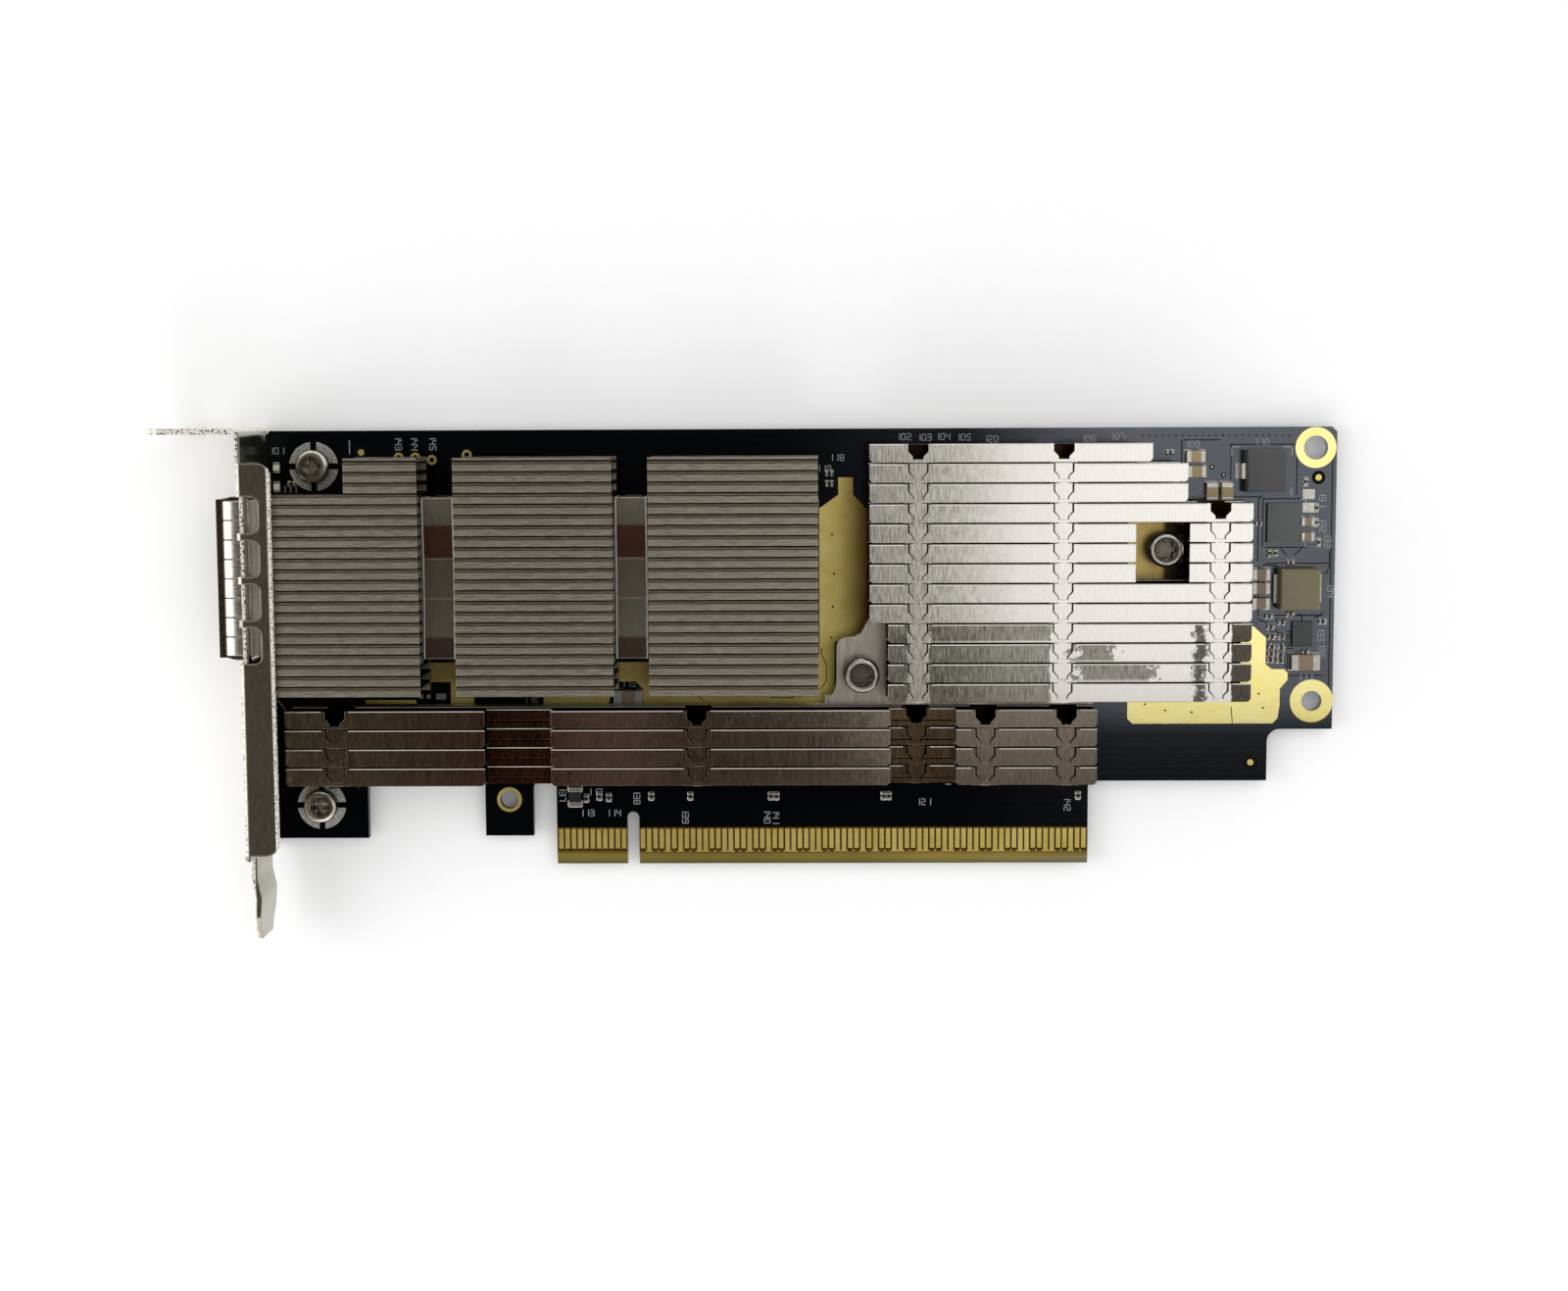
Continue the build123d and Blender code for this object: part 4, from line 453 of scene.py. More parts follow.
def stamped_fins(name, dark, light, rough, zones, shade_patches, row_top, row_pitch, locks):
    """Bright sheet brushed along Y, with frayed patches of painted dark reflection: x span, y span,
    softness, fray, colour.
    """
    material = grained(name, dark, light, 1.0, rough, grain_mm=0.12, stretch=(1, 14, 1),
                       relief=0.003, spread=0.06, contrast=(0.25, 0.75), zones=zones,
                       round_mm=0.14)
    tree, shader, place = parts_of(material)
    smear = add(tree, "ShaderNodeTexNoise", {"Vector": place},
                {"Scale": 700.0, "Detail": 5.0, "Roughness": 0.7})
    fray = add(tree, "ShaderNodeMapRange", {"Value": smear.outputs["Fac"]},
               {"From Min": 0.3, "From Max": 0.7, "To Min": -1.0, "To Max": 1.0}).outputs[0]
    streak_place = add(tree, "ShaderNodeMapping", {"Vector": place},
                       {"Scale": (4200.0, 500.0, 500.0)})
    streak = add(tree, "ShaderNodeTexNoise", {"Vector": streak_place.outputs[0]},
                 {"Scale": 1.0, "Detail": 4.0, "Roughness": 0.65})
    streaks = ramp(tree, streak.outputs["Fac"], [(0.3, "#a0a09b"), (0.62, "#ffffff")])
    colour = shader.inputs["Base Color"].links[0].from_socket
    for x_span, y_span, soft_mm, fray_mm, hex_code in shade_patches:
        here = frayed_patch(tree, place, fray, x_span, y_span, soft_mm, fray_mm)
        shaded_streaks = mix(tree, 1.0, streaks, hex_code, "MULTIPLY")
        colour = mix(tree, here, colour, mix(tree, 1.0, colour, shaded_streaks, "MULTIPLY"))
    # painted shade: a dark line in the gap where each row ends and the next begins, except at the
    # interlocks
    phase = phase_of(tree, place, row_top, row_pitch)
    gap_shade = ramp(tree, phase, [(0.0, "#0c0a09"), (0.045, "#120f0d"), (0.06, "#ffffff"),
                               (0.955, "#ffffff"), (0.965, "#120f0d"), (1.0, "#0c0a09")])
    clear = combine(tree, "MAXIMUM", [
        calculate(tree, "LESS_THAN", away_mm(tree, place, "X", lock), constant=LOCK_HALF)
        for lock in locks])
    gap_shade = mix(tree, clear, gap_shade, "#ffffff")
    # painted highlight: the folded top edge of each row takes the light colour, and is rougher, so
    # it gathers more light
    row_edge_highlight = mix(tree, clear, ramp(tree, phase, [(0.9, "#000000"), (0.91, "#ffffff"),
                                               (0.95, "#ffffff"), (0.96, "#000000")]), "#000000")
    colour = mix(tree, row_edge_highlight, colour, light)
    colour = mix(tree, 1.0, colour, gap_shade, "MULTIPLY")
    roughen(material, row_edge_highlight, SCUFF_AND_HIGHLIGHT_ROUGH)
    # painted shade: the upright walls in the gaps are almost black
    tree.links.new(mix(tree, upright_faces(tree), colour, "#0e0b09"), shader.inputs["Base Color"])
    return material


# painted shade: below the top flats the stack darkens to brown, in its funnels and hollows
stack_depth_shade = [("Z", [(4.0, "#2a1d15"), (12.4, "#3a2a20"), (13.2, "#ffffff"), (14.2, "#ffffff")])]
# painted reflection: brushed patches darken the left end, the rows near the strip and their right
# ends
dress(["upper_fin_stack"],
      stamped_fins("bright_nickel_fins", "#dedcd6", "#f6f4ee", 0.2, stack_depth_shade,
                   [((30.0, 54.0), (20.0, 70.0), 6.0, 2.0, "#e8e8e4"),
                    ((46.4, 64.6), (36.9, 39.6), 0.15, 0.5, "#b6b6b0"),
                    ((40.0, 43.0), (27.0, 39.6), 0.15, 0.3, "#c4c4be"),
                    ((46.4, 64.6), (27.2, 36.6), 0.15, 0.4, "#b6b6b0"),
                    ((68.2, 74.0), (33.8, 36.6), 0.3, 2.4, "#aeaea8"),
                    ((68.2, 80.0), (30.8, 33.6), 0.3, 3.4, "#aeaea8"),
                    ((86.3, 88.0), (27.4, 39.4), 0.3, 1.0, "#7a7a74"),
                    ((92.0, 95.2), (27.2, 39.5), 0.1, 0.2, "#66605a")],
                   66.8, 3.03, (44.6, 66.5, 90.1)))
# the strip is tinted along X; below its flats it darkens to brown: painted shade in its funnels and
# hooks
strip_tint_and_depth_shade = [("X", [(-53.0, "#e2dac8"), (-42.0, "#dccdb6"), (-22.0, "#cfa99c"),
                     (12.0, "#d0bab0"), (40.0, "#ccc2b6"), (50.0, "#b4aa9e"),
                     (73.0, "#a8a096")]),
              ("Z", [(2.0, "#1c130e"), (7.6, "#2a1d16"), (8.2, "#ffffff"), (11.0, "#ffffff")])]
# painted reflection over the brushing, and painted shade in the two sunken windows
dress(["lower_fin_strip"],
      stamped_fins("bright_nickel_strip", "#a8a198", "#e6e0d8", 0.22, strip_tint_and_depth_shade,
                   [((-53.0, -10.0), (13.0, 30.0), 4.0, 5.0, "#e4e4e0"),
                    ((5.0, 36.0), (13.0, 30.0), 4.0, 5.0, "#e4e4e0"),
                    ((40.6, 50.4), (13.0, 30.0), 0.1, 0.1, "#c0b09a"),
                    ((-21.8, -11.8), (13.0, 30.0), 0.1, 0.1, "#c8a89c")],
                   26.1, 2.97, (-45.0, 10.8, 44.6, 55.1, 67.5)))
# along X the plate turns golden past x = 77 mm, and past 83 mm it is painted dark brown: painted
# shade beside the gap to the board
dress(["heatsink_base"],
      grained("milled_nickel_plate", "#b9b4a6", "#e4dfd0", 1.0, 0.32, grain_mm=0.4,
              stretch=(1, 9, 1), relief=0.012, round_mm=0.15,
              zones=[("X", [(36.0, "#ffffff"), (76.5, "#ffffff"), (77.0, "#f0d998"),
                            (82.6, "#d9c07c"), (83.2, "#4a4030"), (86.0, "#3a3226")])]))
dress(["heat_pipe"], grained("drawn_copper_tube", "#9c5c3c", "#c07a52", 1.0, 0.34,
                             grain_mm=0.5, stretch=(8, 1, 1), relief=0.01))

# %% [markdown]
# Springs, straps and screws are hard, bright steel. The straps are polished strip, so their
# grain is very fine and they mirror the room. Their reflection is painted along Y: a dark
# red-brown band, as if a rear wall of the studio showed in them, thin bright lines and
# darker ends. The screw heads are nickel plated, with painted rings of reflection and shade.

# %% Bright steel
STRAP_LEFTS, STRAP_WIDTH = (-30.85, -1.4), 4.95
STRAP_EDGE_GLINT = 0.26  # width of the painted highlight along each edge of a strap
strap_painted_reflection = [("Y", [(34.0, "#7d6f68"), (37.3, "#8a7b74"), (37.7, "#c4c6bc"),
                     (43.2, "#b6b8b0"), (43.4, "#f4f2ea"), (43.6, "#bcb5aa"),
                     (49.3, "#b0a99e"), (49.5, "#f4f0e8"), (49.7, "#885f52"),
                     (54.4, "#8e665a"), (54.8, "#bcbeb4"), (59.0, "#d8dad0")])]
polished_strap = grained("polished_spring_steel", "#d6d3ca", "#f2efe8", 1.0, 0.24, grain_mm=0.2,
                         stretch=(1, 10, 1), relief=0.003, spread=0.03, zones=strap_painted_reflection,
                         round_mm=0.35)
tree, _, place = parts_of(polished_strap)
nearest = combine(tree, "MINIMUM", [away_mm(tree, place, "X", left + STRAP_WIDTH / 2)
                                    for left in STRAP_LEFTS])
# painted highlight: a near-white, rough line along both edges of each strap
edge_glint = calculate(tree, "GREATER_THAN", nearest, constant=STRAP_WIDTH / 2 - STRAP_EDGE_GLINT)
scuff_and_highlight(polished_strap, edge_glint, "#f6f4ee", 0.7)
dress(["strap_front", "strap_rear"], polished_strap)


def screw_heads(name, centres, reflection_rings):
    """Plated steel tinted by the distance from the nearest screw's axis: painted rings of
    reflection and shade.
    """
    material = grained(name, "#b4b0a8", "#f6f2ea", 1.0, 0.3, grain_mm=0.4, relief=0.006,
                       spread=0.05, wall_shade="#2c2926", round_mm=0.25)
    tree, _, place = parts_of(material)
    flat = add(tree, "ShaderNodeVectorMath", {0: place}, {1: (1.0, 1.0, 0.0)},
               operation="MULTIPLY")
    away = combine(tree, "MINIMUM", [
        add(tree, "ShaderNodeVectorMath", {0: flat.outputs[0]}, {1: (x * MM, y * MM, 0.0)},
            operation="DISTANCE").outputs["Value"] for x, y in centres])
    tint_with(material, ramp(tree, calculate(tree, "DIVIDE", away, constant=MM), reflection_rings))
    return material


dress(["spring_screws"],
      screw_heads("plated_spring_screws", [(36.25, 31.1), (82.75, 50.3)],
                  [(0.0, "#8a8780"), (1.5, "#77746d"), (1.85, "#34322f"), (2.0, "#ffffff"),
                   (3.2, "#ffffff")]))
dress(["bracket_screws"],
      screw_heads("plated_bracket_screws", [(-49.9, 63.2), (-49.3, 9.6)],
                  [(0.0, "#ffffff"), (0.9, "#f0ece4"), (1.2, "#8f887c"), (1.7, "#b0aaa0"),
                   (2.0, "#f0ece4"), (3.0, "#ffffff")]))
dress(["screw_springs"], grained("spring_wire", "#4c4a46", "#86837c", 1.0, 0.3,
                                 grain_mm=0.2, relief=0.01))
dress(["heatsink_standoffs"], grained("plated_standoffs", "#8e8a80", "#bcb8ae", 1.0, 0.3,
                                      grain_mm=0.3, relief=0.01))
dress(["controller_lid"], grained("nickel_plated_lid", "#8d8c88", "#aeada8", 1.0, 0.32,
                                  grain_mm=0.5, relief=0.008))

# %% [markdown]
# The small parts on the board are moulded, pressed or sintered. Mould compound is dark grey
# with a fine matt grain, pressed metal powder is an olive brown, ceramic capacitors are tan
# or brown with tinned ends, and thick-film resistors are black glaze with tinned ends.

# %% Plastics, powder and ceramics
FINISHES = [  # pieces, name, dark, light, roughness, grain mm, relief mm, rounding mm
    (["host_connector"], "moulded_thermoplastic", "#141416", "#232327", 0.45, 0.15, 0.02, 0.0),
    (["controller_package"], "package_laminate", "#101214", "#1b1e20", 0.35, 0.4, 0.01, 0.0),
    (["thermal_pad"], "silicone_gap_pad", "#8a8d90", "#a7aaad", 0.8, 0.3, 0.05, 0.0),
    (["power_inductor"], "ferrite_in_resin", "#3c3d3d", "#4e4f4e", 0.5, 0.12, 0.03, 0.15),
    (["core_inductor"], "pressed_metal_powder", "#645d42", "#807656", 0.5, 0.12, 0.03, 0.15),
    (["power_stage"], "mould_compound_grey", "#4a4c4c", "#5d6060", 0.5, 0.1, 0.02, 0.08),
    (["regulator_chip"], "mould_compound_dark", "#2d3533", "#414b48", 0.45, 0.1, 0.02, 0.08),
    (["tan_capacitors"], "tan_ceramic", "#9a8458", "#b8a174", 0.35, 0.15, 0.01, 0.08),
    (["brown_capacitors", "bulk_capacitors"], "brown_ceramic", "#75604c", "#8f7d68",
     0.35, 0.15, 0.01, 0.08),
    (["resistors"], "resistor_glaze", "#0e0f11", "#1b1c20", 0.25, 0.2, 0.01, 0.0),
    (["input_fuse"], "fuse_glaze", "#15171a", "#24272b", 0.3, 0.2, 0.01, 0.0),
    (["status_leds"], "milky_lens", "#cfcdb4", "#e6e4cf", 0.3, 0.2, 0.01, 0.0)]
for pieces, name, dark, light, rough, grain_mm, relief, round_mm in FINISHES:
    dress(pieces, grained(name, dark, light, 0.0, rough, grain_mm=grain_mm, relief=relief,
                          round_mm=round_mm))
bright_tin = grained("bright_tin", "#a9a69c", "#e6e3da", 1.0, 0.3, grain_mm=0.25, relief=0.03,
                     round_mm=0.08)
dress(["capacitor_ends", "resistor_ends", "input_fuse_ends", "status_led_ends",
       "power_inductor_leads", "core_inductor_leads", "open_pads"], bright_tin)

# %% [markdown]
# The new pieces are all thin: ink, openings in the mask, small plated holes and solder. Two
# functions make most of them. Plates gives flat quads a thickness, and turned sweeps a
# profile round an upright axis, at as many places as needed.

# %% Makers of thin pieces
AXIS = 0.001  # the radius, in mm, where a turned profile closes


def new_piece(name, points_mm, faces, slot, material):
    """Makes the mesh object, gives it its material and lets it ride on the card; the slot is not
    used.
    """
    mesh = bpy.data.meshes.new(name)
    mesh.from_pydata((np.asarray(points_mm) * MM).tolist(), [], np.asarray(faces).tolist())
    mesh.materials.append(material)
    made = bpy.data.objects.new(name, mesh)
    bpy.context.scene.collection.objects.link(made)
    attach(made, "root")
    print(name, "has", len(faces), "faces")
    return made


def plates(quads, low, high):
    """Each quad (four x, y corners, anticlockwise) becomes a box from z = low to z = high."""
    corners = np.array(quads, float)
    floors = [np.concatenate([corners, np.full((len(corners), 4, 1), z)], 2) for z in (low, high)]
    points = np.concatenate(floors, 1).reshape(-1, 3)
    box = np.array([(3, 2, 1, 0), (4, 5, 6, 7), (0, 1, 5, 4), (1, 2, 6, 5), (2, 3, 7, 6),
                    (3, 0, 4, 7)])
    faces = box[None] + 8 * np.arange(len(corners))[:, None, None]
    return points, faces.reshape(-1, 4)


def strokes(points, width):
    """Quads along a line: at each end the stroke runs on by half its width."""
    made = []
    for start, end in zip(np.array(points[:-1], float), np.array(points[1:], float)):
        along = (end - start) / np.linalg.norm(end - start) * width / 2
        side = np.array([-along[1], along[0]])
        start, end = start - along, end + along
        made.append([start - side, end - side, end + side, start + side])
    return made


def turned(places, profile, steps=20, closed=False):
    """x = cx + r cos a, y = cy + r sin a, z = z, for each profile point (r, z) and place."""
    profile = np.array(profile, float)
    angle = np.arange(steps) * 2 * np.pi / steps
    ring = np.stack([profile[:, :1] * np.cos(angle), profile[:, :1] * np.sin(angle),
                     np.repeat(profile[:, 1:], steps, 1)], -1)
    count = len(profile)
    rows = count if closed else count - 1
    i, j = np.meshgrid(np.arange(rows), np.arange(steps), indexing="ij")
    up, on = (i + 1) % count, (j + 1) % steps
    quads = np.stack([i * steps + j, i * steps + on, up * steps + on, up * steps + j], -1)
    offset = np.array([(x, y, 0.0) for x, y in places])
    points = (ring.reshape(1, -1, 3) + offset[:, None]).reshape(-1, 3)
    faces = quads.reshape(1, -1, 4) + (count * steps * np.arange(len(places)))[:, None, None]
    return points, faces.reshape(-1, 4)


def flat_ring(inner, outer, low, high):
    """The profile of a flat ring, anticlockwise in (r, z)."""
    return [(inner, low), (outer, low), (outer, high), (inner, high)]


def disc(radius, low, high):
    """The profile of a flat disc: its edge and its top."""
    return [(radius, low), (radius, high), (AXIS, high)]


# %% [markdown]
# White ink on the mask: plain numbers beside the parts, drawn with straight strokes like the
# digits of a meter, and short corner marks. The card's own lettering isn't copied.

# %% White print
INK_LOW, INK_HIGH = 0.0, 0.012
DIGIT_STROKE, MARK_STROKE = 0.11, 0.14
DIGIT_HEIGHT = 0.95
DIGIT_STEP, DIGIT_HALF = 0.92, 0.3  # shares of the height
POINTS = {"A": (0, 1), "B": (0.6, 1), "C": (0, 0.5), "D": (0.6, 0.5), "E": (0, 0), "F": (0.6, 0)}
DIGITS = {"0": ["ABFEA"], "1": ["BF"], "2": ["ABDCEF"], "3": ["ABFE", "CD"], "4": ["ACD", "BF"],
          "5": ["BACDFE"], "6": ["BAEFDC"], "7": ["ABF"], "8": ["ABFEA", "CD"], "9": ["DCABFE"]}


def number(text, x, y, upright):
    """Quads of a number centred on x, y; an upright one is read from the right-hand side."""
    made = []
    for k, digit in enumerate(text):
        shift = ((k - (len(text) - 1) / 2) * DIGIT_STEP - DIGIT_HALF) * DIGIT_HEIGHT
        for line in DIGITS[digit]:
            path = [(POINTS[p][0] * DIGIT_HEIGHT + shift, (POINTS[p][1] - 0.5) * DIGIT_HEIGHT)
                    for p in line]
            if upright:
                path = [(v, -u) for u, v in path]
            made += strokes([(x + u, y + v) for u, v in path], DIGIT_STROKE)
    return made


LEVEL_NUMBERS = [(-55.4, 65.8), (42.9, 67.6), (46.1, 67.5), (49.0, 67.6), (52.2, 67.5),
                 (71.7, 67.2), (76.2, 67.5), (79.4, 66.0), (87.9, 66.3), (98.7, 66.5),
                 (106.1, 29.6), (-6.1, 11.6), (-7.4, 8.2), (-3.2, 8.2), (-0.6, 28.9),
                 (-16.1, 26.2), (-53.6, 59.8), (32.4, 64.4), (30.4, 62.7), (56.5, 67.2),
                 (46.1, 9.9)]
UPRIGHT_NUMBERS = [(108.4, 57.6), (108.5, 53.6), (109.3, 51.2), (109.9, 43.4), (108.5, 36.4),
                   (108.7, 33.9), (-11.2, 11.3), (0.6, 10.8), (8.3, 7.7), (21.3, 7.7),
                   (22.7, 7.6), (68.9, 9.6), (-36.2, 67.0), (-33.7, 67.0),
                   (-30.8, 67.0)]
MARKS = [
    [(-56.15, 26.3), (-55.1, 24.9)], [(-43.9, 67.3), (-43.9, 65.3)],
    [(104.0, 32.9), (104.0, 30.9)], [(94.1, 64.5), (94.1, 65.8), (95.4, 65.8)],
    [(102.2, 65.8), (103.5, 65.8), (103.5, 64.5)], [(103.5, 59.4), (103.5, 58.1)],
    [(105.8, 56.8), (105.8, 57.6), (105.0, 57.6)], [(105.8, 51.0), (105.8, 50.2)],
    [(49.7, 12.7), (50.4, 12.7)], [(69.6, 13.4), (69.6, 12.6)]]
ink = []
for places, first, upright in ((LEVEL_NUMBERS, 101, False), (UPRIGHT_NUMBERS, 131, True)):
    for k, (x, y) in enumerate(places):
        ink += number(str(first + k), x, y, upright)
for path in MARKS:
    ink += strokes(path, MARK_STROKE)
white_ink = speckled("white_epoxy_ink", "#7f8284", "#b4b6b8", 2500.0, 2.0, 0.6)
new_piece("white_print", *plates(ink, INK_LOW, INK_HIGH), "led_lens", white_ink)

# %% [markdown]
# The mask stays clear of bare copper by a hair, and the dark laminate shows there: rings
# round the test points, slots between copper areas and the fine gaps around the tracks of
# the supply at the right-hand end. Plain holes show as dark spots in a row.

# %% Openings in the mask
GAP_LOW, GAP_HIGH = 0.0, 0.01
GAP_STROKE = 0.16
TEST_RINGS = [(-36.2, 64.7), (-33.6, 64.7), (-31.0, 64.3), (-25.5, 65.1)]
FIDUCIALS = [(107.7, 61.0), (97.75, 16.1), (-42.1, 65.5)]
VIAS = [(80.2 + 1.04 * k, 67.6) for k in range(23)] + [
    (98.35, 38.1), (91.9, 58.9), (92.3, 57.7), (96.9, 57.1), (90.2, 20.6), (93.9, 20.4)]
dark_gap = speckled("bare_dark_laminate", "#040405", "#0d0c0b", 1800.0, 2.0, 0.85)
parts_of(dark_gap)[1].inputs["Specular IOR Level"].default_value = 0.1
new_piece("fiducial_openings", *turned(FIDUCIALS, flat_ring(0.52, 1.05, GAP_LOW, GAP_HIGH),
                                       28, True), "solder_mask", dark_gap)
new_piece("test_ring_openings", *turned(TEST_RINGS, flat_ring(0.78, 0.98, GAP_LOW, GAP_HIGH),
                                        24, True), "solder_mask", dark_gap)
new_piece("plain_vias", *turned(VIAS, disc(0.14, GAP_LOW, GAP_HIGH), 12), "solder_mask",
          dark_gap)
GAP_PATHS = [
    [(99.3, 47.3), (101.3, 47.3), (101.8, 46.8)], [(105.5, 38.6), (105.45, 39.2), (104.9, 39.6)],
    [(107.4, 39.1), (108.0, 39.2), (108.8, 39.8)], [(108.9, 45.9), (109.4, 46.15)],
    [(98.6, 38.9), (99.1, 38.5), (99.6, 38.5), (100.5, 37.7)], [(109.3, 46.4), (109.6, 47.0),
                                                               (109.6, 49.4)],
    [(103.6, 32.9), (104.0, 33.4), (104.9, 33.7)], [(101.4, 37.1), (101.8, 36.6), (102.5, 36.6)],
    [(101.45, 34.2), (101.47, 32.5), (102.1, 31.9)], [(102.2, 32.5), (103.0, 31.4), (103.65, 31.0)],
    [(98.4, 47.9), (98.4, 57.6), (99.0, 58.2)], [(94.0, 58.0), (98.6, 58.0)],
    [(94.0, 58.0), (94.0, 66.2), (104.3, 66.2), (104.3, 58.4)], [(99.1, 57.7), (99.1, 50.2)],
    [(99.1, 57.7), (105.9, 57.7)], [(106.0, 50.1), (99.6, 50.1)], [(99.6, 47.6), (109.4, 47.6)],
    [(98.6, 47.2), (98.6, 39.4)], [(99.7, 39.4), (108.6, 39.4)], [(109.85, 28.0), (109.85, 65.0)],
    [(86.3, 59.5), (86.3, 66.8)], [(92.2, 66.9), (86.5, 66.9)], [(103.4, 29.9), (108.9, 29.9)],
    [(103.2, 41.2), (103.2, 40.2)], [(104.1, 48.9), (105.2, 49.9)], [(102.9, 48.9), (102.0, 49.9)],
] + [[(103.2, 36.85 - 0.44 * k), (104.2, 36.85 - 0.44 * k)] for k in range(7)]
gap_quads = [quad for path in GAP_PATHS for quad in strokes(path, GAP_STROKE)]
new_piece("copper_gaps", *plates(gap_quads, GAP_LOW, GAP_HIGH), "solder_mask", dark_gap)

# %% [markdown]
# The gold areas are crossed by a few narrow slots, and they carry small plated holes, which
# are dark in the middle. Near the corner a test probe has left a thin brown line.

# %% Slots and holes in the gold
GOLD_TOP = 0.05
SLOT_STROKE = 0.14
PLANE_PATHS = [
    [(30.04, 34.4), (30.04, 33.4), (30.77, 31.9), (30.77, 29.2), (29.77, 27.9)],
    [(-42.2, 25.7), (-34.3, 25.7)], [(6.0, 27.4), (9.8, 27.4), (11.2, 26.4)],
    [(14.0, 27.2), (19.5, 27.2)], [(22.0, 26.6), (25.5, 26.6), (26.6, 27.6)],
    [(94.6, 24.9), (94.8, 22.4)]]
PLANE_VIAS = [(93.9, 33.2), (94.8, 30.4), (96.4, 28.6), (98.9, 27.0), (99.6, 24.8), (84.2, 24.4),
              (88.4, 24.1), (81.0, 25.4), (31.6, 36.1), (31.8, 41.0), (32.0, 46.2), (31.7, 52.4)]
plane_quads = [quad for path in PLANE_PATHS for quad in strokes(path, SLOT_STROKE)]
new_piece("plane_slots", *plates(plane_quads, GOLD_TOP, GOLD_TOP + GAP_HIGH), "solder_mask",
          dark_gap)
new_piece("plane_vias", *turned(PLANE_VIAS, disc(0.17, GOLD_TOP, GOLD_TOP + GAP_HIGH), 12),
          "solder_mask", dark_gap)

# %% [markdown]
# Solder. Each small open pad near the regulator carries a bright dome, and every tinned end
# of a chip part stands in a hollow-sided fillet. The fillets take their places from the CAD
# pieces: the ends of the parts are looked up as separate solids, and the box round each
# gives the outline. On the back, a cone of solder stands at each foot of the cage.

# %% Solder domes
BRIGHT_DOTS = [(103.14, 47.72), (103.96, 47.68), (108.26, 38.47), (108.97, 38.46), (100.85, 37.19),
               (100.76, 35.99), (101.41, 35.99), (100.73, 34.91), (102.59, 35.88),
               (102.61, 34.9), (101.76, 34.21), (102.52, 34.2), (102.53, 33.16),
               (100.81, 33.06), (102.7, 38.48), (101.79, 38.59), (91.07, 62.7), (92.89, 61.46)]
dome = [(0.24, 0.012), (0.21, 0.06), (0.13, 0.09), (AXIS, 0.1)]
new_piece("solder_domes", *turned(BRIGHT_DOTS, dome, 14), "tin_plate", bright_tin)
new_piece("dome_openings", *turned(BRIGHT_DOTS, flat_ring(0.24, 0.4, GAP_LOW, GAP_HIGH), 16, True),
          "solder_mask", dark_gap)

# %% Solder fillets round the chip ends
FILLET_REACH, FILLET_RISE, FILLET_FOOT = 0.22, 0.3, 0.01


def solid_boxes(name):
    """Lowest and highest corner, in mm, of each separate solid in a CAD piece."""
    mesh = nodes[name].data
    points = np.empty(len(mesh.vertices) * 3)
    mesh.vertices.foreach_get("co", points)
    points = points.reshape(-1, 3) / MM
    edges = np.empty(len(mesh.edges) * 2, np.int32)
    mesh.edges.foreach_get("vertices", edges)
    spots, same = np.unique(points.round(3), axis=0, return_inverse=True)
    edges = same.reshape(-1)[edges.reshape(-1, 2)]
    label = np.arange(len(spots))
    while True:
        lowest = label[edges].min(1)
        spread = label.copy()
        np.minimum.at(spread, edges[:, 0], lowest)
        np.minimum.at(spread, edges[:, 1], lowest)
        if (spread == label).all():
            break
        label = spread
    return [(spots[label == k].min(0), spots[label == k].max(0)) for k in np.unique(label)]


def fillets(boxes, reach, rise, foot):
    """Round each box, a skirt: out = reach (1 - t), z = foot + rise t squared, t from 0 to 1."""
    angles = np.radians([0, 45, 90, 90, 135, 180, 180, 225, 270, 270, 315, 360])
    signs = np.repeat([(1, 1), (-1, 1), (-1, -1), (1, -1)], 3, 0)
    points, faces = [], []
    for low, high in boxes:
        middle, half = (low + high)[:2] / 2, (high - low)[:2] / 2
        first = len(points)
        for t in (0.0, 0.4, 0.75, 1.0):
            out = reach * (1 - t)
            for angle, sign in zip(angles, signs):
                x, y = middle + sign * half + out * np.array([np.cos(angle), np.sin(angle)])
                points.append((x, y, foot + rise * t * t))
        for row in range(3):
            for k in range(12):
                a, b = first + 12 * row + k, first + 12 * row + (k + 1) % 12
                faces.append((a, b, b + 12, a + 12))
    return points, faces


chip_ends = [box for name in ("capacitor_ends", "resistor_ends", "input_fuse_ends")
             for box in solid_boxes(name)]
print("chip ends:", len(chip_ends))
new_piece("solder_fillets", *fillets(chip_ends, FILLET_REACH, FILLET_RISE, FILLET_FOOT),
          "tin_plate", bright_tin)

# %% Solder on the back
BACK = -1.57
foot_middles = [(low + high) / 2 for low, high in solid_boxes("cage_feet")]
foot_places = sorted({(round(float(x), 2), round(float(y), 2)) for x, y, _ in foot_middles})
print("cage feet:", len(foot_places))
cone = [(AXIS, BACK - 0.42), (0.22, BACK - 0.4), (0.34, BACK - 0.25), (0.55, BACK - 0.08),
        (0.85, BACK - 0.01), (0.9, BACK)]
new_piece("foot_solder", *turned(foot_places, cone, 18), "tin_plate", bright_tin)

# %% [markdown]
# The studio: a white floor that keeps a soft shadow, a wide soft light above the far half of
# the card, and a pale sky. The camera stands 36 cm above the card, where the photograph was
# taken: its place and turn come from the contacts and edges of the board as the photograph
# shows them. The camera is at x = 29 mm, so flat metal at x mirrors what hangs over about
# 2 x - 29 mm. That placed the left edges of the two overhead lights: the sheen starts there.

# %% Floor
FLOOR_DROP = 0.02 * MM  # the floor stays clear of the lowest point by this
FLOOR_HALF, FLOOR_CENTRE = 2.0, 0.03
floor_z = cad_box[0][2] - FLOOR_DROP


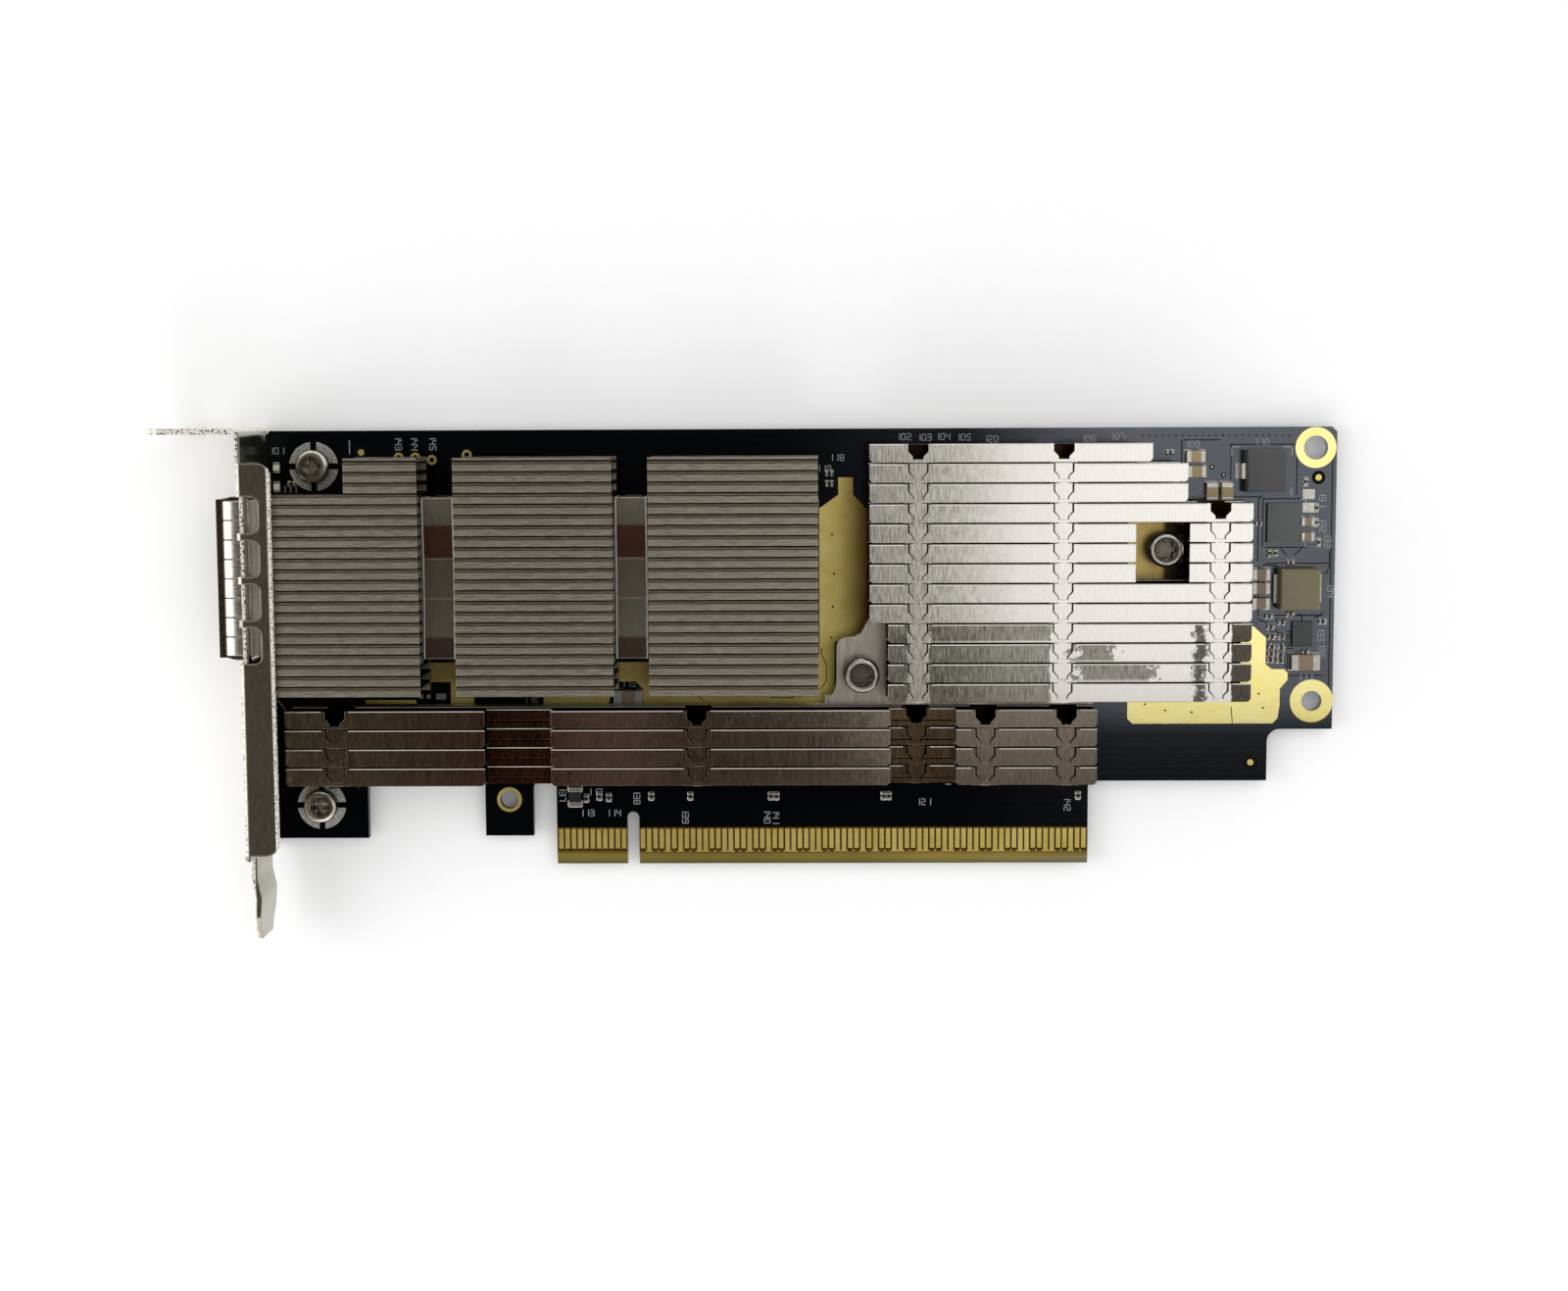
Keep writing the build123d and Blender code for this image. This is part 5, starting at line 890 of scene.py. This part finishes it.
def floor_mesh(z):
    """A flat square, its centre at x = y = FLOOR_CENTRE and its half side FLOOR_HALF."""
    low, high = FLOOR_CENTRE - FLOOR_HALF, FLOOR_CENTRE + FLOOR_HALF
    mesh = bpy.data.meshes.new("studio_floor")
    corners = [(low, low, z), (high, low, z), (low, high, z), (high, high, z)]
    mesh.from_pydata(corners, [], [(0, 1, 3, 2)])
    return mesh


floor = bpy.data.objects.new("studio_floor", floor_mesh(floor_z))
bpy.context.scene.collection.objects.link(floor)
floor.data.materials.append(speckled("white_paper", "#f8f8f8", "#fcfcfc", 400.0, 3.0, 0.9))

# %% Sky
HORIZON, CEILING = (0.95, 0.95, 0.95, 1), (0.085, 0.07, 0.06, 1)  # linear, as metal mirrors them
AMBIENT, BACKDROP = (0.78, 0.78, 0.78, 1), (1, 1, 1, 1)  # for matt surfaces, for the camera
CEILING_START, CEILING_FULL = 0.5, 0.94  # of the direction's Z
world = bpy.data.worlds.new("studio_sky")
bpy.context.scene.world = world
world.use_nodes = True
tree = world.node_tree
tree.nodes.clear()
sky_out = add(tree, "ShaderNodeOutputWorld")
path = add(tree, "ShaderNodeLightPath")
direction = add(tree, "ShaderNodeSeparateXYZ",
                {"Vector": add(tree, "ShaderNodeTexCoord").outputs["Generated"]})
# what metal mirrors: white near the horizon, darker towards the ceiling
rise = add(tree, "ShaderNodeMapRange", {"Value": direction.outputs["Z"]},
           {"From Min": CEILING_START, "From Max": CEILING_FULL})
mirrored = mix(tree, rise.outputs[0], HORIZON, CEILING)
lit = mix(tree, path.outputs["Is Glossy Ray"], AMBIENT, mirrored)
seen = mix(tree, path.outputs["Is Camera Ray"], lit, BACKDROP)
sky = add(tree, "ShaderNodeBackground", {"Color": seen}, {"Strength": 1.0})
tree.links.new(sky.outputs[0], sky_out.inputs["Surface"])

# %% Lights


def soft_light(name, place_mm, aim_mm, size_mm, watts):
    """A rectangular lamp at one point that faces another."""
    lamp = bpy.data.lights.new(name, "AREA")
    lamp.shape = "RECTANGLE"
    lamp.size, lamp.size_y = size_mm[0] * MM, size_mm[1] * MM
    lamp.energy = watts
    holder = bpy.data.objects.new(name, lamp)
    bpy.context.scene.collection.objects.link(holder)
    here, there = Vector(place_mm) * MM, Vector(aim_mm) * MM
    turn = (here - there).to_track_quat("Z", "Y").to_matrix().to_4x4()
    holder.matrix_world = Matrix.Translation(here) @ turn
    return holder


soft_light("overhead_softbox", (215, 156, 420), (215, 156, 0), (240, 385), 0.31)
soft_light("softbox_spill", (69, 160, 421), (69, 160, 0), (52, 385), 0.05)
soft_light("left_fill", (-420, 60, 330), (0, 40, 0), (300, 300), 0.6)
soft_light("front_fill", (30, -420, 330), (30, 30, 0), (400, 250), 0.5)

# %% Camera
PHOTO_WIDTH, FOCAL_LENGTH = 1600, 2371.70  # both in pixels of the photograph
SENSOR_MM = 36.0
CAMERA_MM = (28.987, 71.805, 364.786)
turn_x, turn_y, turn_z = radians(5.7795), radians(-0.7643), radians(0.1774)
world_to_camera = (Matrix.Rotation(turn_z, 4, "Z") @ Matrix.Rotation(turn_y, 4, "Y")
                   @ Matrix.Rotation(turn_x, 4, "X"))
lens = bpy.data.cameras.new("overhead_camera")
lens.sensor_fit = "HORIZONTAL"
lens.sensor_width = SENSOR_MM
lens.lens = FOCAL_LENGTH / PHOTO_WIDTH * SENSOR_MM
lens.clip_start = 0.01
camera = bpy.data.objects.new("overhead_camera", lens)
bpy.context.scene.collection.objects.link(camera)
camera.matrix_world = Matrix.Translation(Vector(CAMERA_MM) * MM) @ world_to_camera.transposed()
bpy.context.scene.camera = camera
bpy.context.scene.view_settings.view_transform = "Standard"
print("camera height above the board, mm:", round(camera.matrix_world.translation.z / MM, 1))
